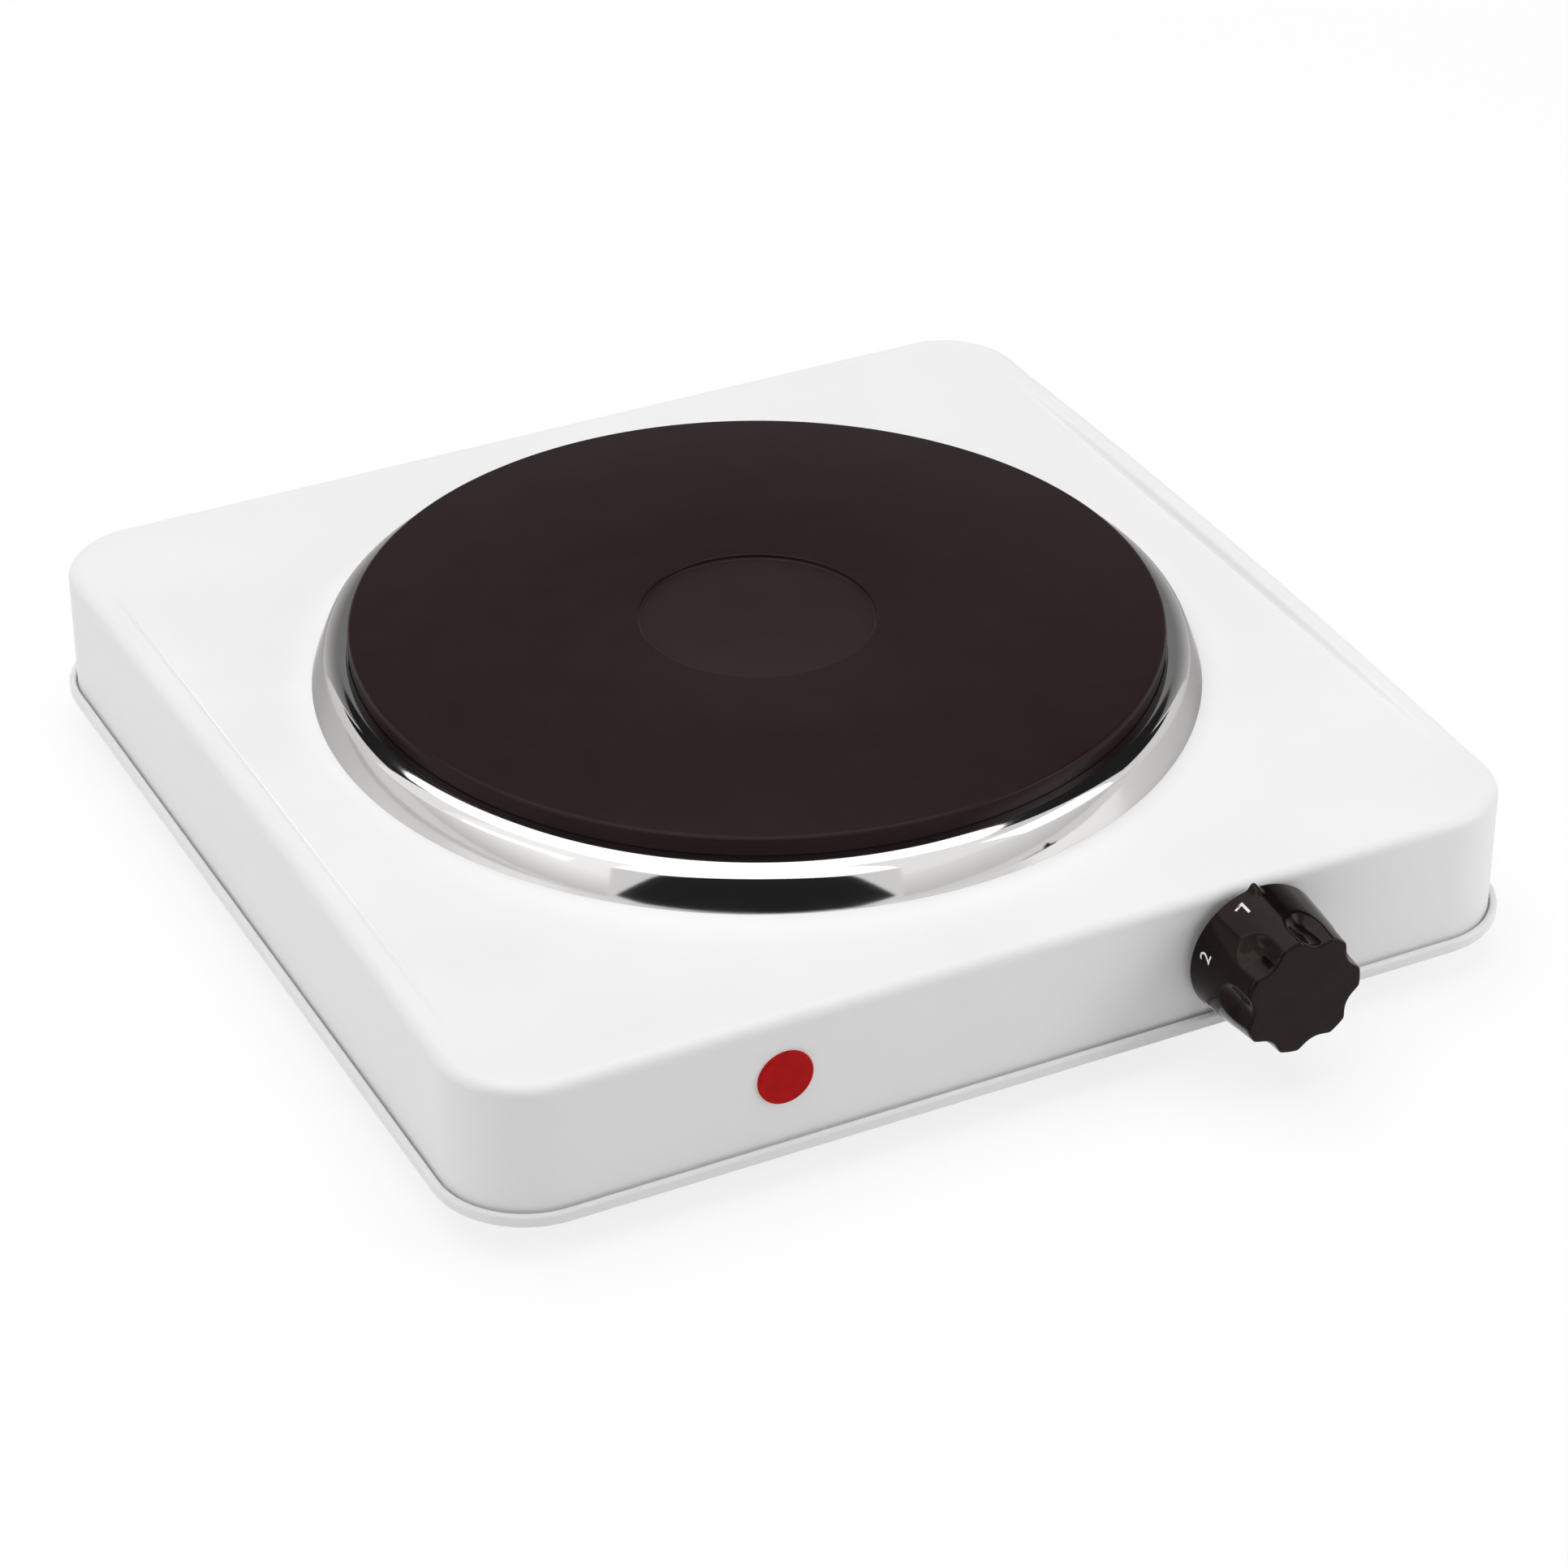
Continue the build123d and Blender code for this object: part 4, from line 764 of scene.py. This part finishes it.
# Indicator lamp: a red plastic lens pushed through the front wall from outside, with a flat round face.
# A push-on washer holds it. A small glow lamp stands behind it on a white plug.
lens_radius = (lens_high.x - lens_low.x) / 2
lens_flange = 0.8 * MM
lens_edge = 0.5 * MM
lens_dome = 0.12 * MM
lens_barrel = 5.0 * MM
lens_wall = 1.0 * MM
lens_face_wall = 1.5 * MM
lens_length = lens_high.y - lens_low.y
lens_ripples = 5
lens_ripple_depth = 0.4 * MM
lens_face_steps = 12


def lens_profile():
    """The lens from the middle of its face out over the edge, along the barrel and back inside."""
    profile = [(0, 0)]
    inner = lens_radius - lens_edge
    for k in range(1, lens_face_steps + 1):
        share = k / lens_face_steps
        profile.append((inner * share, lens_dome * share**2))
    profile += arc((inner, lens_dome + lens_edge), lens_edge, -80, 0, 8)
    profile += [(lens_radius, lens_flange), (lens_barrel, lens_flange), (lens_barrel, lens_length)]
    profile += [(lens_barrel - lens_wall, lens_length), (lens_barrel - lens_wall, lens_face_wall)]
    for k in range(1, 2 * lens_ripples):
        radius = (lens_barrel - lens_wall) * (1 - k / (2 * lens_ripples))
        profile.append((radius, lens_face_wall - lens_ripple_depth * (k % 2)))
    profile.append((0, lens_face_wall))
    return profile


def red_lens():
    """Clear red moulded plastic that looks deep from outside."""
    finish, tree, shader = new_finish("red_lens")
    cloud = grain(tree, 4 * MM, 2)
    tone(tree, cloud, (0.40, 0.003, 0.004), (0.47, 0.005, 0.006), shader.inputs["Base Color"])
    spread(tree, cloud, 0.16, 0.24, shader.inputs["Roughness"])
    shader.inputs["Specular IOR Level"].default_value = 0.06
    shader.inputs["Subsurface Weight"].default_value = 0.2
    shader.inputs["Subsurface Radius"].default_value = (1.0, 0.1, 0.1)
    shader.inputs["Subsurface Scale"].default_value = 1.5 * MM
    relief(tree, grain(tree, 0.8 * MM), 0.01 * MM, 0.1, shader)
    return finish


backwards = Vector((0, 1, 0))
lens_face = Vector((lamp_axis.x, lens_low.y, lamp_axis.z))
lens = turned("indicator_lens", lens_profile(), lens_face, backwards)
lens.data.materials.append(red_lens())
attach(lens, "body")
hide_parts("lamp_lens")


def plain_plastic(name, dark, light, rough):
    """Moulded plastic with a fine grain."""
    finish, tree, shader = new_finish(name)
    cloud = grain(tree, 5 * MM, 3)
    tone(tree, cloud, dark, light, shader.inputs["Base Color"])
    spread(tree, cloud, rough, rough + 0.1, shader.inputs["Roughness"])
    relief(tree, grain(tree, 0.3 * MM), 0.01 * MM, 0.3, shader)
    return finish


def bulb_glass():
    """Thin clear glass with a warm tint."""
    finish, tree, shader = new_finish("bulb_glass")
    tone(tree, grain(tree, 2 * MM), (0.90, 0.86, 0.80), (0.97, 0.93, 0.88), shader.inputs["Base Color"])
    shader.inputs["Transmission Weight"].default_value = 0.9
    shader.inputs["Roughness"].default_value = 0.05
    return finish


white_plastic = plain_plastic("white_plastic", (0.70, 0.70, 0.67), (0.78, 0.78, 0.75), 0.4)
coat(zinc, "lamp_retainer")
coat(white_plastic, "lamp_plug")
coat(bulb_glass(), "neon_bulb")


# Cord gland: a black plastic bush through the back wall, with a flange and a tapered nose outside.
# A plastic nut holds it from inside.
black_plastic = plain_plastic("black_plastic", (0.011, 0.011, 0.011), (0.018, 0.018, 0.018), 0.38)
gland_flange = (gland_high.x - gland_low.x) / 2
gland_flange_end = 10 * MM
gland_flange_start = 7 * MM
gland_length = gland_high.y - gland_low.y
gland_neck = 6 * MM
gland_bore = 3.6 * MM
gland_nose_root = 7 * MM
gland_nose = 6.2 * MM
gland_edge = 0.6 * MM
gland_rib = 0.35 * MM
gland_steps = 6
gland_profile = [(gland_bore, 0), (gland_neck, 0), (gland_neck, gland_flange_start)]
gland_profile += [(gland_flange, gland_flange_start)]
gland_profile += arc((gland_flange - gland_edge, gland_flange_end - gland_edge), gland_edge, 0, 90)
for k in range(gland_steps + 1):
    share = k / gland_steps
    rib = gland_rib if k % 2 else 0
    out = gland_flange_end + (gland_length - gland_edge - gland_flange_end) * share
    gland_profile.append((gland_nose_root + (gland_nose - gland_nose_root) * share - rib, out))
gland_profile += arc((gland_nose - gland_edge, gland_length - gland_edge), gland_edge, 0, 90)
gland_mouth = gland_edge / 2
gland_profile += [(gland_bore + gland_mouth, gland_length), (gland_bore, gland_length - gland_mouth)]
gland_origin = Vector((gland_axis.x, gland_low.y, gland_axis.z))
gland = turned("gland_bush", gland_profile, gland_origin, backwards)
gland.data.materials.append(black_plastic)
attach(gland, "body")
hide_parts("cord_gland")
coat(black_plastic, "gland_nut")


# Terminal block and earth point: a white three-way block screwed to the pan, with brass clamping screws.
# A zinc-plated screw and nut beside it bond the pan to earth.
coat(white_plastic, "terminal_block")
coat(brass, "terminal_screws")
coat(zinc, "block_screws", "earth_screw", "earth_nut")


# Leads: stranded wire in heat-proof sleeving, brown for live, blue for neutral, green for earth.
# The lead from thermostat to coil and the lamp's live lead are black.
def sleeving(name, dark, light):
    """Braided heat-proof sleeving."""
    return plain_plastic(name, dark, light, 0.5)


brown_sleeving = sleeving("brown_sleeving", (0.10, 0.045, 0.022), (0.14, 0.065, 0.034))
blue_sleeving = sleeving("blue_sleeving", (0.02, 0.07, 0.26), (0.035, 0.10, 0.34))
green_sleeving = sleeving("green_sleeving", (0.05, 0.22, 0.05), (0.09, 0.30, 0.07))
black_sleeving = sleeving("black_sleeving", (0.014, 0.014, 0.014), (0.024, 0.024, 0.024))
coat(brown_sleeving, "live_lead")
coat(blue_sleeving, "neutral_lead", "lamp_neutral_lead")
coat(green_sleeving, "earth_lead")
coat(black_sleeving, "switched_lead", "lamp_switched_lead")


# Studio: a white floor that keeps a soft shadow, a large soft lamp above, and weaker ones at the sides.
# Grey paper and dark flags round the table are there for the bright ring to reflect.
def seen_white(tree):
    """A factor for rays from the camera, and for those that metal and glass send on."""
    path = tree.nodes.new("ShaderNodeLightPath")
    first = tree.nodes.new("ShaderNodeMath")
    second = tree.nodes.new("ShaderNodeMath")
    second.use_clamp = True
    tree.links.new(path.outputs["Is Camera Ray"], first.inputs[0])
    tree.links.new(path.outputs["Is Glossy Ray"], first.inputs[1])
    tree.links.new(first.outputs[0], second.inputs[0])
    tree.links.new(path.outputs["Is Transmission Ray"], second.inputs[1])
    return second.outputs[0]


floor_half = 4.0
floor_shadow_share = 0.2
floor_shadow_near = 0.3
floor_shadow_far = 0.8
ambient = 0.25


def paper_floor():
    """Matt white paper: white to the camera, but for a share that keeps the shadow. Clear from below."""
    finish, tree, shader = new_finish("paper_floor")
    cloud = grain(tree, 300 * MM)
    tone(tree, cloud, (0.96, 0.96, 0.96), (0.98, 0.98, 0.98), shader.inputs["Base Color"])
    shader.inputs["Roughness"].default_value = 0.9
    shader.inputs["Specular IOR Level"].default_value = 0
    glow = tree.nodes.new("ShaderNodeEmission")
    mix = tree.nodes.new("ShaderNodeMixShader")
    place = tree.nodes.new("ShaderNodeTexCoord")
    away = tree.nodes.new("ShaderNodeVectorMath")
    away.operation = "LENGTH"
    fade = tree.nodes.new("ShaderNodeMapRange")
    fade.inputs["From Min"].default_value = floor_shadow_near
    fade.inputs["From Max"].default_value = floor_shadow_far
    fade.inputs["To Min"].default_value = 1 - floor_shadow_share
    share = tree.nodes.new("ShaderNodeMath")
    share.operation = "MULTIPLY"
    tree.links.new(place.outputs["Object"], away.inputs[0])
    tree.links.new(away.outputs["Value"], fade.inputs["Value"])
    tree.links.new(fade.outputs["Result"], share.inputs[1])
    tree.links.new(seen_white(tree), share.inputs[0])
    tree.links.new(share.outputs[0], mix.inputs["Fac"])
    tree.links.new(shader.outputs[0], mix.inputs[1])
    tree.links.new(glow.outputs[0], mix.inputs[2])
    clear = tree.nodes.new("ShaderNodeBsdfTransparent")
    side = tree.nodes.new("ShaderNodeNewGeometry")
    sided = tree.nodes.new("ShaderNodeMixShader")
    tree.links.new(side.outputs["Backfacing"], sided.inputs["Fac"])
    tree.links.new(mix.outputs[0], sided.inputs[1])
    tree.links.new(clear.outputs[0], sided.inputs[2])
    tree.links.new(sided.outputs[0], tree.nodes["Material Output"].inputs["Surface"])
    return finish


def sheet_piece(name, points, faces, finish):
    """A flat sheet of the studio, from its corners."""
    mesh = bpy.data.meshes.new(name)
    mesh.from_pydata(points, [], faces)
    mesh.materials.append(finish)
    piece = bpy.data.objects.new(name, mesh)
    bpy.context.scene.collection.objects.link(piece)
    return piece


corners = [(x * floor_half, y * floor_half, 0) for x, y in ((-1, -1), (1, -1), (1, 1), (-1, 1))]
sheet_piece("paper_floor", corners, [(0, 1, 2, 3)], paper_floor())

camera_place = Vector((-0.41974, -0.83042, 0.61016))
camera_aim = Vector((0.38202, 0.75016, -0.53975))
camera_roll = 0.0026
camera_lens = 110.585
camera_sensor = 36
towards_camera = Vector((-camera_aim.x, -camera_aim.y, 0)).normalized()
beside_camera = Vector((-towards_camera.y, towards_camera.x, 0))


def card_paper(name, bottom, top, low, high):
    """Paper that shades from one grey at its bottom to another at its top."""
    finish = bpy.data.materials.new(name)
    finish.use_nodes = True
    tree = finish.node_tree
    tree.nodes.remove(tree.nodes["Principled BSDF"])
    place = tree.nodes.new("ShaderNodeTexCoord")
    split = tree.nodes.new("ShaderNodeSeparateXYZ")
    shade = tree.nodes.new("ShaderNodeMapRange")
    shade.inputs["From Min"].default_value = low
    shade.inputs["From Max"].default_value = high
    shade.inputs["To Min"].default_value = bottom
    shade.inputs["To Max"].default_value = top
    glow = tree.nodes.new("ShaderNodeEmission")
    tree.links.new(place.outputs["Object"], split.inputs["Vector"])
    tree.links.new(split.outputs["Z"], shade.inputs["Value"])
    tree.links.new(shade.outputs["Result"], glow.inputs["Strength"])
    tree.links.new(glow.outputs[0], tree.nodes["Material Output"].inputs["Surface"])
    return finish


card_steps = 40
card_top_pinch = 0.88
card_bottom_pinch = 0.12


def round_card(name, bottom, top, low, high, first, last, distance, pinch=0):
    """A card bent round the plate's axis, between two elevations and two turns from the camera."""
    points = []
    for k in range(card_steps + 1):
        turn = math.radians(first + (last - first) * k / card_steps)
        out = towards_camera * math.cos(turn) + beside_camera * math.sin(turn)
        close = pinch * (2 * k / card_steps - 1) ** 2
        for rise, far, share in ((low, high, card_bottom_pinch), (high, low, card_top_pinch)):
            angle = math.radians(rise + (far - rise) * close * share)
            place = out * math.cos(angle) + upwards * math.sin(angle)
            points.append(plate_centre + upwards * panel_level + place * distance)
    faces = [(2 * k, 2 * k + 2, 2 * k + 3, 2 * k + 1) for k in range(card_steps)]
    levels = [panel_level + distance * math.sin(math.radians(rise)) for rise in (low, high)]
    card = sheet_piece(name, points, faces, card_paper(name, bottom, top, *levels))
    card.visible_camera = False
    card.visible_diffuse = False
    card.visible_shadow = False


# Each card has its grey at the bottom and the top, its elevations, its turns and its distance.
round_card("front_flag", 0.02, 0.02, -2.5, 23.5, -32, 32, 1.8, 1)
round_card("back_card", 0.80, 0.24, 0, 33, 135, 225, 2.2)
round_card("back_flag", 0.02, 0.02, 33, 60, 104, 256, 2.1)
round_card("left_flag", 0.02, 0.02, 23, 40, 228, 256, 2.15)
round_card("right_flag", 0.02, 0.02, 23, 40, 104, 132, 2.15)
round_card("left_low_card", 0.80, 1.4, -0.5, 8, -104, -34, 2.1)
round_card("left_rear_card", 1.25, 1.25, 8, 80, -104, -80, 2.0)
round_card("left_front_card", 1.4, 1.5, 8, 80, -80, -34, 2.0)
round_card("front_card", 1.8, 1.9, 16, 80, -36, 36, 2.0)
round_card("right_front_card", 1.25, 1.25, 8, 80, 34, 75, 2.0)
round_card("right_rear_card", 1.05, 1.0, 8, 80, 75, 104, 2.0)
round_card("right_low_card", 0.80, 1.15, -0.5, 8, 34, 104, 2.1)


def soft_lamp(name, place, aim, width, depth, power):
    """A rectangular soft lamp."""
    lamp = bpy.data.lights.new(name, "AREA")
    lamp.shape = "RECTANGLE"
    lamp.size = width
    lamp.size_y = depth
    lamp.energy = power
    holder = bpy.data.objects.new(name, lamp)
    bpy.context.scene.collection.objects.link(holder)
    holder.location = place
    holder.rotation_euler = (aim - place).to_track_quat("-Z", "Y").to_euler()


top_lamp_place = Vector((plate_axis.x - 0.15, plate_axis.y + 0.25, 1.1))
top_lamp_power = 13.5
left_lamp_place = Vector((-1.6, -0.1, 0.7))
left_lamp_power = 3.4
right_lamp_place = Vector((0.55, -0.45, 0.35))
right_lamp_aim = Vector((0.05, -0.12, 0.02))
right_lamp_power = 1.4
soft_lamp("top_lamp", top_lamp_place, top_lamp_place - upwards, 1.5, 1.5, top_lamp_power)
soft_lamp("left_lamp", left_lamp_place, plate_axis, 0.9, 0.8, left_lamp_power)
soft_lamp("right_lamp", right_lamp_place, right_lamp_aim, 0.4, 0.4, right_lamp_power)

world = bpy.data.worlds.new("studio")
bpy.context.scene.world = world
world.use_nodes = True
tree = world.node_tree
room = tree.nodes["Background"]
room.inputs["Color"].default_value = (1, 1, 1, 1)
room.inputs["Strength"].default_value = ambient
backdrop = tree.nodes.new("ShaderNodeBackground")
backdrop.inputs["Color"].default_value = (1, 1, 1, 1)
backdrop.inputs["Strength"].default_value = 1
mix = tree.nodes.new("ShaderNodeMixShader")
tree.links.new(seen_white(tree), mix.inputs["Fac"])
tree.links.new(room.outputs[0], mix.inputs[1])
tree.links.new(backdrop.outputs[0], mix.inputs[2])
tree.links.new(mix.outputs[0], tree.nodes["World Output"].inputs["Surface"])

camera_data = bpy.data.cameras.new("camera")
camera_data.lens = camera_lens
camera_data.sensor_width = camera_sensor
camera = bpy.data.objects.new("camera", camera_data)
bpy.context.scene.collection.objects.link(camera)
camera.location = camera_place
camera.rotation_euler = camera_aim.to_track_quat("-Z", "Y").to_euler()
camera.rotation_euler.rotate_axis("Z", camera_roll)
bpy.context.scene.camera = camera
bpy.context.scene.view_settings.view_transform = "Standard"
